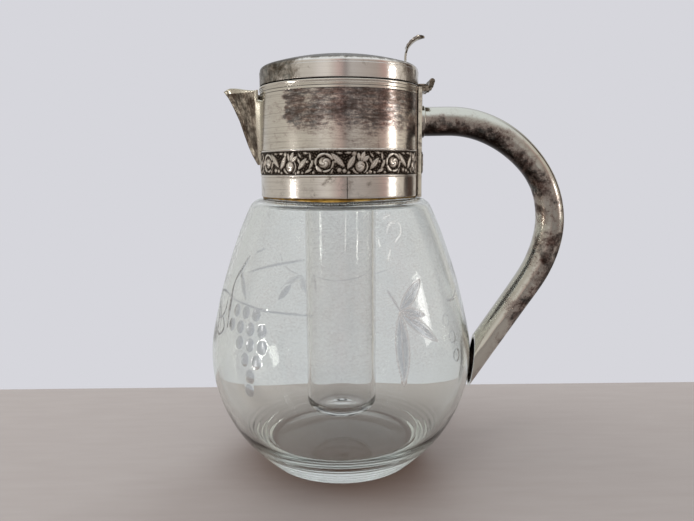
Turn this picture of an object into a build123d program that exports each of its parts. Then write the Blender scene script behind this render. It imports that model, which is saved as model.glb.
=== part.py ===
from build123d import *

import math
import os

# Glass jug with a silver-plated mount: hinged lid, beak spout, hollow handle and a lift-out ice tube.
# Frame: +Z up, origin on the jug's axis at the table. The spout points along -X, the handle along +X.

os.makedirs("parts", exist_ok=True)

# ---- driving dimensions, in millimetres and degrees ----

# glass jug
belly_r = 81.0
belly_z = 67.5
foot_r = 46.6
foot_ring = 7.0  # width of the flat that it stands on
foot_lift = 1.2  # height of the foot's soft edge, and of the punt's middle
neck_r = 44.9
neck_wall = 2.8
neck_top = 191.0
neck_fillet = 2.5
shoulder_z = 164.5
shoulder_r = 9.0
shoulder_turn = 65.8
floor_r = 42.0
floor_z = 11.5

# collar and its bands
collar_r = 47.7
collar_wall = 0.9
collar_bottom = 165.8
collar_top = 229.6
rim_bottom = 227.4
rim_r = 48.1
band_r = 48.1
band_top = 177.4
bead_r = 48.8
bead_height = 1.4
frieze_r = 48.4
frieze_height = 12.9
band_gap = 21.0  # the bands stop this far each side of the handle
cement_top = 186.0
cement_bead = 0.9

# pour window and spout
window_half = 9.0
window_bottom = 198.0
window_top = 218.0
beak_bottom = 184.6
beak_top = 229.9
beak_wall = 1.0
flange_wall = 1.2
flange_margin = 2.5
slot_bottom = 221.8
slot_width = 0.8

# handle
plate_half = 14.0
plate_r = 50.2
plate_bottom = 164.9
plate_top = 229.4
plate_frieze_r = 51.2
handle_r = 8.75
handle_wall = 1.2
handle_z = 210.0
ferrule_lip = 0.9
ferrule_end = 51.6
bend_x = 68.5
bend_r = 62.4
lower_bend_r = 57.5
lower_turn = 33.6
end_top = (84.8, 76.6)  # the open end is cut along this line, clear of the glass
end_foot = (82.0, 43.8)

# hinge
hinge_x = 55.1
hinge_z = 232.9
knuckle_r = 1.65
pin_r = 0.8
pin_play = 0.05
hinge_half = 9.0
lid_knuckle_half = 3.0
knuckle_gap = 0.2
leaf_bottom = 230.6
leaf_top = 231.5
bracket_bottom = 227.0
bracket_top = 230.2

# lid
lid_bottom = 230.4
skirt_r = 47.6
skirt_wall = 1.4
skirt_top = 238.4
bezel_wall = 1.0
bezel_bottom = 228.0
dome_top = 248.4
dome_edge_r = 45.2
dome_edge_z = 241.4
dome_wall = 1.0
thumb_root = 241.0

# ice tube and its carrier
tube_r = 22.0
tube_wall = 2.0
tube_bottom = 28.0
tube_floor = 34.0
tube_corner = 8.0
lip_width = 6.0
lip_height = 2.6
seat_inner_r = 43.2
seat_bottom = 221.0
seat_top = 222.2
carrier_r = 44.6
carrier_sheet = 1.2
carrier_rim = 1.6
rest_gap = 0.05
pour_hole_r = 4.5
pour_hole_count = 12

collar_inner_r = collar_r - collar_wall


def polar(radius, angle):
    """The point at a radius and an angle, in degrees, from the centre."""
    return (radius * math.cos(math.radians(angle)), radius * math.sin(math.radians(angle)))


def ring(inner_r, outer_r, bottom, top):
    """A plain ring about the jug's axis."""
    with BuildPart() as made:
        with BuildSketch(Plane.XY.offset(bottom)):
            Circle(outer_r)
            Circle(inner_r, mode=Mode.SUBTRACT)
        extrude(amount=top - bottom)
    return made


def arc_band(inner_r, outer_r, bottom, top, start, stop):
    """Part of a ring about the jug's axis, from one angle to another."""
    with BuildPart() as made:
        with BuildSketch(Plane.XY.offset(bottom)):
            with BuildLine():
                CenterArc((0, 0), outer_r, start, stop - start)
                CenterArc((0, 0), inner_r, start, stop - start)
                for angle in (start, stop):
                    Line(polar(inner_r, angle), polar(outer_r, angle))
            make_face()
        extrude(amount=top - bottom)
    return made


# ---- glass jug ----
neck_inner_r = neck_r - neck_wall
fillet_centre = (neck_r + neck_fillet, shoulder_z + neck_fillet)
shoulder_centre = (fillet_centre[0], shoulder_z - shoulder_r)
flank = (math.cos(math.radians(shoulder_turn)), -math.sin(math.radians(shoulder_turn)))
mouth_r = neck_wall / 2


def shoulder_end(radius):
    """Where the shoulder's round runs into the flank."""
    return tuple(c + d for c, d in zip(shoulder_centre, polar(radius, 90 - shoulder_turn)))


with BuildPart() as glass_body:
    with BuildSketch(Plane.XZ):
        with BuildLine():
            Polyline(
                (0, floor_z),
                (0, foot_lift),
                (foot_r - foot_ring, 0),
                (foot_r, 0),
                (foot_r + 1.6, foot_lift),
            )
            Spline(
                (foot_r + 1.6, foot_lift),
                (58.9, 12),
                (71.5, 30),
                (79.0, 50.5),
                (belly_r, belly_z),
                (78.2, 90),
                (72.3, 114),
                (64.4, 138),
                shoulder_end(shoulder_r),
                tangents=((0.76, 0.65), (-flank[0], -flank[1])),
            )
            CenterArc(shoulder_centre, shoulder_r, 90 - shoulder_turn, shoulder_turn)
            CenterArc(fillet_centre, neck_fillet, 180, 90)
            Line((neck_r, fillet_centre[1]), (neck_r, neck_top - mouth_r))
            CenterArc((neck_r - mouth_r, neck_top - mouth_r), mouth_r, 0, 180)
            Line((neck_inner_r, neck_top - mouth_r), (neck_inner_r, fillet_centre[1]))
            CenterArc(fillet_centre, neck_fillet + neck_wall, 180, 90)
            CenterArc(shoulder_centre, shoulder_r - neck_wall, 90 - shoulder_turn, shoulder_turn)
            Spline(
                shoulder_end(shoulder_r - neck_wall),
                (61.8, 137),
                (69.6, 113),
                (75.5, 89.5),
                (belly_r - 2.9, belly_z),
                (75.6, 51),
                (66.8, 33.5),
                (50.5, 14.8),
                (floor_r, floor_z),
                tangents=(flank, (-1, 0)),
            )
            Line((floor_r, floor_z), (0, floor_z))
        make_face()
    revolve(axis=Axis.Z)
glass_body.part.label = "glass_body"
export_step(glass_body.part, "parts/glass_body.step")

# the bedding of the collar on the neck, with a bead that shows under the collar
with BuildPart() as neck_cement:
    with BuildSketch(Plane.XZ):
        with BuildLine():
            Polyline(
                (neck_r, cement_top),
                (collar_inner_r, cement_top),
                (collar_inner_r, collar_bottom),
                (collar_r - 0.2, collar_bottom),
                (collar_r - 0.4, collar_bottom - cement_bead),
                (collar_inner_r, collar_bottom - cement_bead),
                (neck_r + 0.5, fillet_centre[1] - 1.1),
                (neck_r, fillet_centre[1] + 1.0),
                close=True,
            )
        make_face()
    revolve(axis=Axis.Z)
neck_cement.part.label = "neck_cement"
export_step(neck_cement.part, "parts/neck_cement.step")

# ---- collar ----
with BuildPart() as collar_shell:
    with BuildSketch(Plane.XY.offset(collar_bottom)):
        Circle(collar_r)
        Circle(collar_inner_r, mode=Mode.SUBTRACT)
    extrude(amount=collar_top - collar_bottom)
    # arched pour window behind the spout
    with BuildSketch(Plane.YZ.offset(-collar_r - 1)):
        with BuildLine():
            arch_z = window_top - window_half
            Polyline(
                (-window_half, arch_z),
                (-window_half, window_bottom),
                (window_half, window_bottom),
                (window_half, arch_z),
            )
            CenterArc((0, arch_z), window_half, 0, 180)
        make_face()
    extrude(amount=10, mode=Mode.SUBTRACT)
collar_shell.part.label = "collar_shell"
export_step(collar_shell.part, "parts/collar_shell.step")

frieze_bottom = band_top + bead_height
frieze_top = frieze_bottom + frieze_height
plate_gap = 0.6  # between the rim's ends and the handle plate
bands = {
    # name: (outer radius, bottom, top, angle kept clear each side of the handle)
    "collar_rim": (rim_r, rim_bottom, collar_top, plate_half + plate_gap),
    "lower_band": (band_r, collar_bottom, band_top, band_gap),
    "lower_bead": (bead_r, band_top, frieze_bottom, band_gap),
    "frieze_band": (frieze_r, frieze_bottom, frieze_top, band_gap),
    "upper_bead": (bead_r, frieze_top, frieze_top + bead_height, band_gap),
}
for name, (outer_r, bottom, top, gap) in bands.items():
    band = arc_band(collar_r, outer_r, bottom, top, gap, 360 - gap)
    band.part.label = name
    export_step(band.part, f"parts/{name}.step")

seat_ring = ring(seat_inner_r, collar_inner_r, seat_bottom, seat_top)
seat_ring.part.label = "seat_ring"
export_step(seat_ring.part, "parts/seat_ring.step")

# ---- spout: a folded beak whose rear edges lie on the collar ----
beak_levels = (
    # height, keel, half width where it meets the collar
    (beak_bottom, -49.4, 3.0),
    (195.6, -53.6, 8.6),
    (208.0, -58.6, 12.0),
    (219.0, -64.2, 14.2),
    (beak_top, -69.8, 15.5),
)
hollow_bottom = (188.0, -50.7, 5.0)  # the trough starts here, on the same keel
nose_share = 0.28  # keel's rounding, as a share of the half width
nose_limit = 2.2
inside_x = -40.0  # the sections run on inside the collar, where they are cut away


def beak_section(keel_x, half_width):
    """Outline of one level: a V with a rounded keel."""
    nose = min(nose_limit, nose_share * half_width)
    rear_x = -math.sqrt(collar_r**2 - half_width**2)
    with BuildLine() as outline:
        Polyline((keel_x + nose, -nose), (rear_x, -half_width), (inside_x, -half_width))
        Line((inside_x, -half_width), (inside_x, half_width))
        Polyline((inside_x, half_width), (rear_x, half_width), (keel_x + nose, nose))
        ThreePointArc((keel_x + nose, nose), (keel_x, 0), (keel_x + nose, -nose))
    return outline.line


def beak_solid(levels, keel_in, narrower, stretch=0.0):
    """A beak through the levels, made smaller by the wall; stretch carries it past the top."""
    with BuildPart() as made:
        for height, keel_x, half_width in levels:
            at_top = height == beak_top
            with BuildSketch(Plane.XY.offset(height + (stretch if at_top else 0.0))):
                add(beak_section(keel_x + keel_in, half_width - narrower))
                make_face()
        loft(ruled=True)
    return made.part


hollow_levels = (hollow_bottom, *beak_levels[1:])
outer_beak = beak_solid(beak_levels, 0.0, 0.0)
beak_hollow = beak_solid(hollow_levels, 1.3 * beak_wall, beak_wall, stretch=0.6)
flange_outline = beak_solid(beak_levels, 0.0, -flange_margin)
with BuildPart() as spout:
    add(flange_outline)
    with BuildSketch(Plane.XY.offset(beak_bottom)):
        Circle(collar_r + flange_wall)
    extrude(amount=beak_top - beak_bottom, mode=Mode.INTERSECT)
    add(outer_beak)
    add(beak_hollow, mode=Mode.SUBTRACT)
    with BuildSketch(Plane.XY.offset(beak_bottom)):
        Circle(collar_r)
    extrude(amount=beak_top - beak_bottom, mode=Mode.SUBTRACT)
    with BuildSketch(Plane.XY.offset(beak_bottom)):
        Circle(bead_r)
    extrude(amount=frieze_top + bead_height - beak_bottom, mode=Mode.SUBTRACT)
    with BuildSketch(Plane.XY.offset(slot_bottom)):
        Circle(collar_r + slot_width)
    extrude(amount=beak_top - slot_bottom, mode=Mode.SUBTRACT)
spout.part.label = "spout"
export_step(spout.part, "parts/spout.step")

# ---- handle: plate, frieze on the plate, root ferrule and bent hollow tube ----
handle_plate = arc_band(collar_r, plate_r, plate_bottom, plate_top, -plate_half, plate_half)
handle_plate.part.label = "handle_plate"
export_step(handle_plate.part, "parts/handle_plate.step")

plate_frieze = arc_band(plate_r, plate_frieze_r, frieze_bottom, frieze_top, -plate_half, plate_half)
plate_frieze.part.label = "plate_frieze"
export_step(plate_frieze.part, "parts/plate_frieze.step")

with BuildPart() as handle_ferrule:
    with BuildSketch(Plane.YZ.offset(plate_r - 2)):
        with Locations((0, handle_z)):
            Circle(handle_r + ferrule_lip)
    extrude(amount=ferrule_end - plate_r + 2)
    with BuildSketch(Plane.XY.offset(handle_z - 2 * handle_r)):
        Circle(plate_r)
    extrude(amount=4 * handle_r, mode=Mode.SUBTRACT)
handle_ferrule.part.label = "handle_ferrule"
export_step(handle_ferrule.part, "parts/handle_ferrule.step")

side_centre = (bend_x, handle_z - bend_r)
lower_centre = (bend_x + bend_r - lower_bend_r, side_centre[1])
lower_start = tuple(c + d for c, d in zip(lower_centre, polar(lower_bend_r, -lower_turn)))
lower_run = 90.0  # past the open end, where it is cut back
lower_end = tuple(c - d for c, d in zip(lower_start, polar(lower_run, 90 - lower_turn)))
cut_lean = (end_top[0] - end_foot[0]) / (end_top[1] - end_foot[1])
cut_above = 40.0
cut_below = 60.0
with BuildPart() as handle_tube:
    with BuildLine(Plane.XZ):
        Line((ferrule_end, handle_z), (bend_x, handle_z))
        CenterArc(side_centre, bend_r, 90, -90)
        CenterArc(lower_centre, lower_bend_r, 0, -lower_turn)
        Line(lower_start, lower_end)
    with BuildSketch(Plane.YZ.offset(ferrule_end)):
        with Locations((0, handle_z)):
            Circle(handle_r)
            Circle(handle_r - handle_wall, mode=Mode.SUBTRACT)
    sweep()
    with BuildSketch(Plane.XZ):
        with BuildLine():
            Polyline(
                (end_top[0] + cut_above * cut_lean, end_top[1] + cut_above),
                (end_foot[0] - cut_below * cut_lean, end_foot[1] - cut_below),
                (0, end_foot[1] - cut_below),
                (0, end_top[1] + cut_above),
                close=True,
            )
        make_face()
    extrude(amount=2 * handle_r, both=True, mode=Mode.SUBTRACT)
handle_tube.part.label = "handle_tube"
export_step(handle_tube.part, "parts/handle_tube.step")

# ---- hinge ----
arm_inner = lid_knuckle_half + knuckle_gap
arm_width = hinge_half - arm_inner
bore_reach = 20.0
with BuildPart() as hinge_bracket:
    for side in (-1, 1):
        with BuildSketch(Plane.XZ.offset(-side * arm_inner)):
            with BuildLine():
                Polyline(
                    (collar_r + 1, bracket_bottom),
                    (51.8, bracket_bottom),
                    (55.6, bracket_bottom + 2.2),
                    (hinge_x + 1.4, hinge_z - 0.6),
                    (hinge_x - 1.5, hinge_z - 0.6),
                    (53.0, bracket_top),
                    (collar_r + 1, bracket_top),
                    close=True,
                )
            make_face()
            with Locations((hinge_x, hinge_z)):
                Circle(knuckle_r)
        extrude(amount=-side * arm_width)
    with BuildSketch(Plane.XZ.offset(-arm_inner)):
        with BuildLine():
            Polyline(
                (collar_r + 1, bracket_bottom),
                (51.8, bracket_bottom),
                (52.2, bracket_top),
                (collar_r + 1, bracket_top),
                close=True,
            )
        make_face()
    extrude(amount=2 * arm_inner)
    with BuildSketch(Plane.XZ.offset(-bore_reach)):
        with Locations((hinge_x, hinge_z)):
            Circle(pin_r)
    extrude(amount=2 * bore_reach, mode=Mode.SUBTRACT)
    with BuildSketch(Plane.XY.offset(bracket_bottom)):
        Circle(plate_r)
    extrude(amount=plate_top - bracket_bottom, mode=Mode.SUBTRACT)
hinge_bracket.part.label = "hinge_bracket"
export_step(hinge_bracket.part, "parts/hinge_bracket.step")

pin_half = hinge_half + 0.5
with BuildPart() as hinge_pin:
    with BuildSketch(Plane.XZ.offset(-pin_half)):
        with Locations((hinge_x, hinge_z)):
            Circle(pin_r)
    extrude(amount=2 * pin_half)
hinge_pin.part.label = "hinge_pin"
export_step(hinge_pin.part, "parts/hinge_pin.step")

with BuildPart() as hinge_leaf:
    with BuildSketch(Plane.XY.offset(leaf_bottom)):
        with BuildLine():
            Polyline(
                (45.0, -8.0),
                (50.5, -8.0),
                (52.4, -5.0),
                (52.4, -lid_knuckle_half),
                (hinge_x, -lid_knuckle_half),
                (hinge_x, lid_knuckle_half),
                (52.4, lid_knuckle_half),
                (52.4, 5.0),
                (50.5, 8.0),
                (45.0, 8.0),
                close=True,
            )
        make_face()
    extrude(amount=leaf_top - leaf_bottom)
    with BuildSketch(Plane.XY.offset(leaf_bottom)):
        Circle(skirt_r)
    extrude(amount=leaf_top - leaf_bottom, mode=Mode.SUBTRACT)
    with BuildSketch(Plane.XZ.offset(-lid_knuckle_half)):
        with Locations((hinge_x, hinge_z)):
            Circle(knuckle_r)
    extrude(amount=2 * lid_knuckle_half)
    with BuildSketch(Plane.XZ.offset(-bore_reach)):
        with Locations((hinge_x, hinge_z)):
            Circle(pin_r + pin_play)
    extrude(amount=2 * bore_reach, mode=Mode.SUBTRACT)
hinge_leaf.part.label = "hinge_leaf"
export_step(hinge_leaf.part, "parts/hinge_leaf.step")

# ---- lid ----
bezel_r = skirt_r - skirt_wall
lid_skirt = ring(bezel_r, skirt_r, lid_bottom, skirt_top)
lid_skirt.part.label = "lid_skirt"
export_step(lid_skirt.part, "parts/lid_skirt.step")

lid_bezel = ring(bezel_r - bezel_wall, bezel_r, bezel_bottom, skirt_top)
lid_bezel.part.label = "lid_bezel"
export_step(lid_bezel.part, "parts/lid_bezel.step")

dome_rise = dome_top - dome_edge_z
dome_radius = (dome_edge_r**2 + dome_rise**2) / (2 * dome_rise)
dome_centre = (0, dome_top - dome_radius)
edge_angle = math.degrees(math.asin(dome_edge_r / dome_radius))
dome_foot_r = skirt_r - 0.3
inner_edge_r = dome_edge_r - dome_wall
inner_angle = math.degrees(math.asin(inner_edge_r / (dome_radius - dome_wall)))
inner_edge = (inner_edge_r, dome_centre[1] + math.sqrt((dome_radius - dome_wall) ** 2 - inner_edge_r**2))
with BuildPart() as lid_dome:
    with BuildSketch(Plane.XZ):
        with BuildLine():
            CenterArc(dome_centre, dome_radius, 90 - edge_angle, edge_angle)
            Spline(
                (dome_foot_r, skirt_top),
                (dome_foot_r - 0.5, skirt_top + 1.8),
                (dome_edge_r, dome_edge_z),
                tangents=((0, 1), (-math.cos(math.radians(edge_angle)), math.sin(math.radians(edge_angle)))),
            )
            Polyline(
                (dome_foot_r, skirt_top),
                (dome_foot_r - dome_wall, skirt_top),
                (dome_foot_r - dome_wall - 0.3, skirt_top + 1.4),
                inner_edge,
            )
            CenterArc(dome_centre, dome_radius - dome_wall, 90 - inner_angle, inner_angle)
            Line((0, dome_top - dome_wall), (0, dome_top))
        make_face()
    revolve(axis=Axis.Z)
lid_dome.part.label = "lid_dome"
export_step(lid_dome.part, "parts/lid_dome.step")

# thumb lift: a curved blade that widens to a leaf
thumb_back = ((39.2, 244.6), (39.6, 249.1), (41.2, 253.5), (43.5, 257.2), (46.7, 259.3), (51.2, 260.2))
thumb_front = ((51.6, 259.2), (48.3, 257.4), (44.6, 254.9), (42.3, 252.0), (40.8, 249.0), (40.4, 244.6))
thumb_tip = (51.9, 259.9)
with BuildPart() as thumb_lift:
    with BuildSketch(Plane.XZ):
        with BuildLine():
            Spline(*thumb_back)
            ThreePointArc(thumb_back[-1], thumb_tip, thumb_front[0])
            Spline(*thumb_front)
            Polyline(
                thumb_front[-1],
                (thumb_front[-1][0], thumb_root),
                (thumb_back[0][0], thumb_root),
                thumb_back[0],
            )
        make_face()
    extrude(amount=8, both=True)
    # outline of the blade seen from behind, half of it mirrored
    with BuildSketch(Plane.YZ.offset(38)):
        with BuildLine():
            Polyline((0, thumb_root), (4.5, thumb_root), (3.2, 246.0))
            Spline((3.2, 246.0), (2.6, 250.0), (5.2, 256.0), (4.2, 259.0), (0, 261.0))
            mirror(about=Plane.YZ)
        make_face()
    extrude(amount=16, mode=Mode.INTERSECT)
    with BuildSketch(Plane.XZ):
        with BuildLine():
            CenterArc(dome_centre, dome_radius, 90 - edge_angle, edge_angle)
            Polyline((0, dome_top), (0, dome_edge_z - 5), (dome_edge_r, dome_edge_z - 5), (dome_edge_r, dome_edge_z))
        make_face()
    revolve(axis=Axis.Z, mode=Mode.SUBTRACT)
thumb_lift.part.label = "thumb_lift"
export_step(thumb_lift.part, "parts/thumb_lift.step")

# ---- ice tube and the pierced plate that carries it ----
carrier_bottom = seat_top + rest_gap
lip_bottom = carrier_bottom + carrier_sheet
lip_top = lip_bottom + lip_height
lip_r = tube_r + lip_width
tube_inner_r = tube_r - tube_wall
inner_corner = tube_corner - tube_wall
flat_r = tube_r - tube_corner
with BuildPart() as ice_tube:
    with BuildSketch(Plane.XZ):
        with BuildLine():
            Spline((0, tube_bottom + 1.6), (flat_r / 2, tube_bottom + 0.7), (flat_r, tube_bottom))
            CenterArc((flat_r, tube_bottom + tube_corner), tube_corner, -90, 90)
            Polyline((tube_r, tube_bottom + tube_corner), (tube_r, lip_bottom), (lip_r - 1, lip_bottom))
            ThreePointArc((lip_r - 1, lip_bottom), (lip_r, lip_bottom + lip_height / 2), (lip_r - 1, lip_top))
            Polyline(
                (lip_r - 1, lip_top),
                (tube_inner_r + 1.5, lip_top),
                (tube_inner_r, lip_top - 1.5),
                (tube_inner_r, tube_floor + inner_corner),
            )
            CenterArc((flat_r, tube_floor + inner_corner), inner_corner, 0, -90)
            Spline((flat_r, tube_floor), (flat_r / 2, tube_floor + 0.8), (0, tube_floor + 2.2))
            Line((0, tube_floor + 2.2), (0, tube_bottom + 1.6))
        make_face()
    revolve(axis=Axis.Z)
ice_tube.part.label = "ice_tube"
export_step(ice_tube.part, "parts/ice_tube.step")

pour_ring_r = (lip_r + carrier_r) / 2 - 0.6
with BuildPart() as tube_carrier:
    with BuildSketch(Plane.XY.offset(carrier_bottom)):
        Circle(carrier_r)
        Circle(tube_r + 0.25, mode=Mode.SUBTRACT)
        with PolarLocations(pour_ring_r, pour_hole_count):
            Circle(pour_hole_r, mode=Mode.SUBTRACT)
    extrude(amount=carrier_sheet)
    with BuildSketch(Plane.XY.offset(carrier_bottom + carrier_sheet)):
        Circle(carrier_r)
        Circle(carrier_r - 1, mode=Mode.SUBTRACT)
    extrude(amount=carrier_rim)
tube_carrier.part.label = "tube_carrier"
export_step(tube_carrier.part, "parts/tube_carrier.step")
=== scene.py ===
import math

import bmesh
import bpy
import numpy as np
from mathutils import Matrix, Vector


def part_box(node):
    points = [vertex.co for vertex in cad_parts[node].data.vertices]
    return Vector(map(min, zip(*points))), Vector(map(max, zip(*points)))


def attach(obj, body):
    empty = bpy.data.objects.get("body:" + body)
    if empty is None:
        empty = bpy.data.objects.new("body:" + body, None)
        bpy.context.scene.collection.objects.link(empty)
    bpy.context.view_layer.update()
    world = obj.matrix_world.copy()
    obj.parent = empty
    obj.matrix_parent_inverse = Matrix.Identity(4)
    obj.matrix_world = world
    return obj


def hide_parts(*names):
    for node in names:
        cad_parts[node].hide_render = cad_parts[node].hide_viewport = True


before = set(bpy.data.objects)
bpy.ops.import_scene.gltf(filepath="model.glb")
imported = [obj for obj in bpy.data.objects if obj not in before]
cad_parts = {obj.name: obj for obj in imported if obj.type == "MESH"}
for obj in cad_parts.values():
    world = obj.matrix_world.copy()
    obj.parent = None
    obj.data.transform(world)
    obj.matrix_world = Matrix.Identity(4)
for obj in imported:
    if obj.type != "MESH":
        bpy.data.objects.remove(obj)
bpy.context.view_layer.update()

mm = 0.001
rng = np.random.default_rng(11)


def boxMm(node):
    low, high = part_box(node)
    return np.array(low) / mm, np.array(high) / mm


def smoothStep(x, low, high):
    t = np.clip((x - low) / (high - low), 0, 1)
    return t * t * (3 - 2 * t)


def gridFaces(rows, cols, wrapRows=False, wrapCols=False):
    r = np.arange(rows if wrapRows else rows - 1)
    c = np.arange(cols if wrapCols else cols - 1)
    down, across = np.meshgrid(r, c, indexing="ij")
    nextDown, nextAcross = (down + 1) % rows, (across + 1) % cols
    corners = [down * cols + across, down * cols + nextAcross,
               nextDown * cols + nextAcross, nextDown * cols + across]
    return np.stack(corners, -1).reshape(-1, 4)


def smoothCurve(points, count):
    # natural cubic through the points, evenly spaced along its length
    p = np.array(points, float)
    s = np.r_[0, np.cumsum(np.linalg.norm(np.diff(p, axis=0), axis=1))]
    h = np.diff(s)
    n = len(p)
    system, right = np.eye(n), np.zeros_like(p)
    for i in range(1, n - 1):
        system[i, i - 1:i + 2] = h[i - 1], 2 * (h[i - 1] + h[i]), h[i]
        right[i] = 6 * ((p[i + 1] - p[i]) / h[i] - (p[i] - p[i - 1]) / h[i - 1])
    m = np.linalg.solve(system, right)

    def at(t):
        i = np.clip(np.searchsorted(s, t, side="right") - 1, 0, n - 2)
        a, b = (s[i + 1] - t)[:, None], (t - s[i])[:, None]
        w = h[i][:, None]
        return ((m[i] * a**3 + m[i + 1] * b**3) / (6 * w)
                + (p[i] / w - m[i] * w / 6) * a + (p[i + 1] / w - m[i + 1] * w / 6) * b)

    fine = at(np.linspace(0, s[-1], 40 * n))
    length = np.r_[0, np.cumsum(np.linalg.norm(np.diff(fine, axis=0), axis=1))]
    even = np.linspace(0, length[-1], count)
    return np.stack([np.interp(even, length, fine[:, k]) for k in range(p.shape[1])], 1)


def arcPoints(centre, radius, start, turn, count):
    a = np.radians(np.linspace(start, start + turn, count))
    return np.stack([centre[0] + radius * np.cos(a), centre[1] + radius * np.sin(a)], 1)


def softLoop(points, radius, steps=4):
    # closed outline with every corner rounded
    p = np.array(points, float)
    out = []
    for before, here, after in zip(np.roll(p, 1, 0), p, np.roll(p, -1, 0)):
        inward, onward = before - here, after - here
        reach = min(radius, 0.45 * np.linalg.norm(inward), 0.45 * np.linalg.norm(onward))
        a = here + inward / np.linalg.norm(inward) * reach
        b = here + onward / np.linalg.norm(onward) * reach
        for t in np.linspace(0, 1, steps):
            out.append((1 - t)**2 * a + 2 * t * (1 - t) * here + t * t * b)
    return np.array(out)


def addPiece(name, points, faces, finish, body, replaced=(), sharp=None):
    mesh = bpy.data.meshes.new(name)
    mesh.from_pydata((np.asarray(points) * mm).tolist(), [], [list(f) for f in faces])
    bm = bmesh.new()
    bm.from_mesh(mesh)
    bmesh.ops.remove_doubles(bm, verts=bm.verts, dist=2e-7)
    bmesh.ops.recalc_face_normals(bm, faces=bm.faces)
    bm.to_mesh(mesh)
    bm.free()
    mesh.polygons.foreach_set("use_smooth", [True] * len(mesh.polygons))
    if sharp:
        mesh.set_sharp_from_angle(angle=math.radians(sharp))
    piece = bpy.data.objects.new(name, mesh)
    bpy.context.scene.collection.objects.link(piece)
    mesh.materials.append(finish)
    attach(piece, body)
    if replaced:
        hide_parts(*replaced)
    return piece


def turned(profile, angles):
    # profile (radius, height) turned round the jug's axis; angle 0 faces +X
    a = np.radians(angles)
    r, z = profile[:, 0][:, None], profile[:, 1][:, None]
    return np.stack([r * np.cos(a), r * np.sin(a), z + 0 * a], -1).reshape(-1, 3)


def addTurned(name, loop, columns, finish, body, replaced=(), sharp=None):
    angles = np.arange(columns) * 360 / columns
    faces = gridFaces(len(loop), columns, wrapRows=True, wrapCols=True)
    return addPiece(name, turned(loop, angles), faces, finish, body, replaced, sharp)


def addArc(name, loop, start, stop, step, finish, body, replaced=(), sharp=None):
    angles = np.linspace(start, stop, int((stop - start) / step) + 2)
    rows, cols = len(loop), len(angles)
    faces = gridFaces(rows, cols, wrapRows=True).tolist()
    faces.append([r * cols for r in range(rows)])
    faces.append([r * cols + cols - 1 for r in range(rows)])
    return addPiece(name, turned(loop, angles), faces, finish, body, replaced, sharp)


def addTube(name, line, radius, finish, body, around=16):
    # round wire along a line of points; radius may change along it
    line = np.asarray(line, float)
    radius = np.broadcast_to(radius, len(line))
    along = np.gradient(line, axis=0)
    along /= np.linalg.norm(along, axis=1)[:, None]
    side = np.cross(along, [0.13, 0.21, 0.97])
    side /= np.linalg.norm(side, axis=1)[:, None]
    up = np.cross(side, along)
    a = np.linspace(0, 2 * np.pi, around, endpoint=False)
    ring = side[:, None] * np.cos(a)[None, :, None] + up[:, None] * np.sin(a)[None, :, None]
    points = (line[:, None] + ring * radius[:, None, None]).reshape(-1, 3)
    faces = gridFaces(len(line), around, wrapCols=True).tolist()
    faces.append(list(range(around)))
    faces.append(list(range((len(line) - 1) * around, len(line) * around)))
    return addPiece(name, points, faces, finish, body)


def colour(text):
    # sRGB hex to linear
    values = [int(text[i:i + 2], 16) / 255 for i in (1, 3, 5)]
    linear = [v / 12.92 if v <= 0.04045 else ((v + 0.055) / 1.055) ** 2.4 for v in values]
    return (*linear, 1.0)


def addNode(tree, kind, settings, out=0):
    # a setting is a property, an input's value, a ramp's stops, or the socket that feeds that input
    node = tree.nodes.new("ShaderNode" + kind)
    for key, value in settings.items():
        if key == "stops":
            elements = node.color_ramp.elements
            while len(elements) < len(value):
                elements.new(0.5)
            for element, (place, shade) in zip(elements, value):
                element.position, element.color = place, colour(shade)
        elif isinstance(value, bpy.types.NodeSocket):
            tree.links.new(value, node.inputs[key])
        elif isinstance(key, str) and hasattr(node, key):
            setattr(node, key, value)
        else:
            node.inputs[key].default_value = value
    return node.outputs[out] if len(node.outputs) else node


def newMaterial(name):
    # an empty material, with the place on the object and its x, y and z ready
    material = bpy.data.materials.new(name)
    material.use_nodes = True
    tree = material.node_tree
    tree.nodes.clear()
    place = addNode(tree, "TexCoord", {}, "Object")
    return material, tree, place, addNode(tree, "SeparateXYZ", {0: place}).node.outputs


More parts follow.
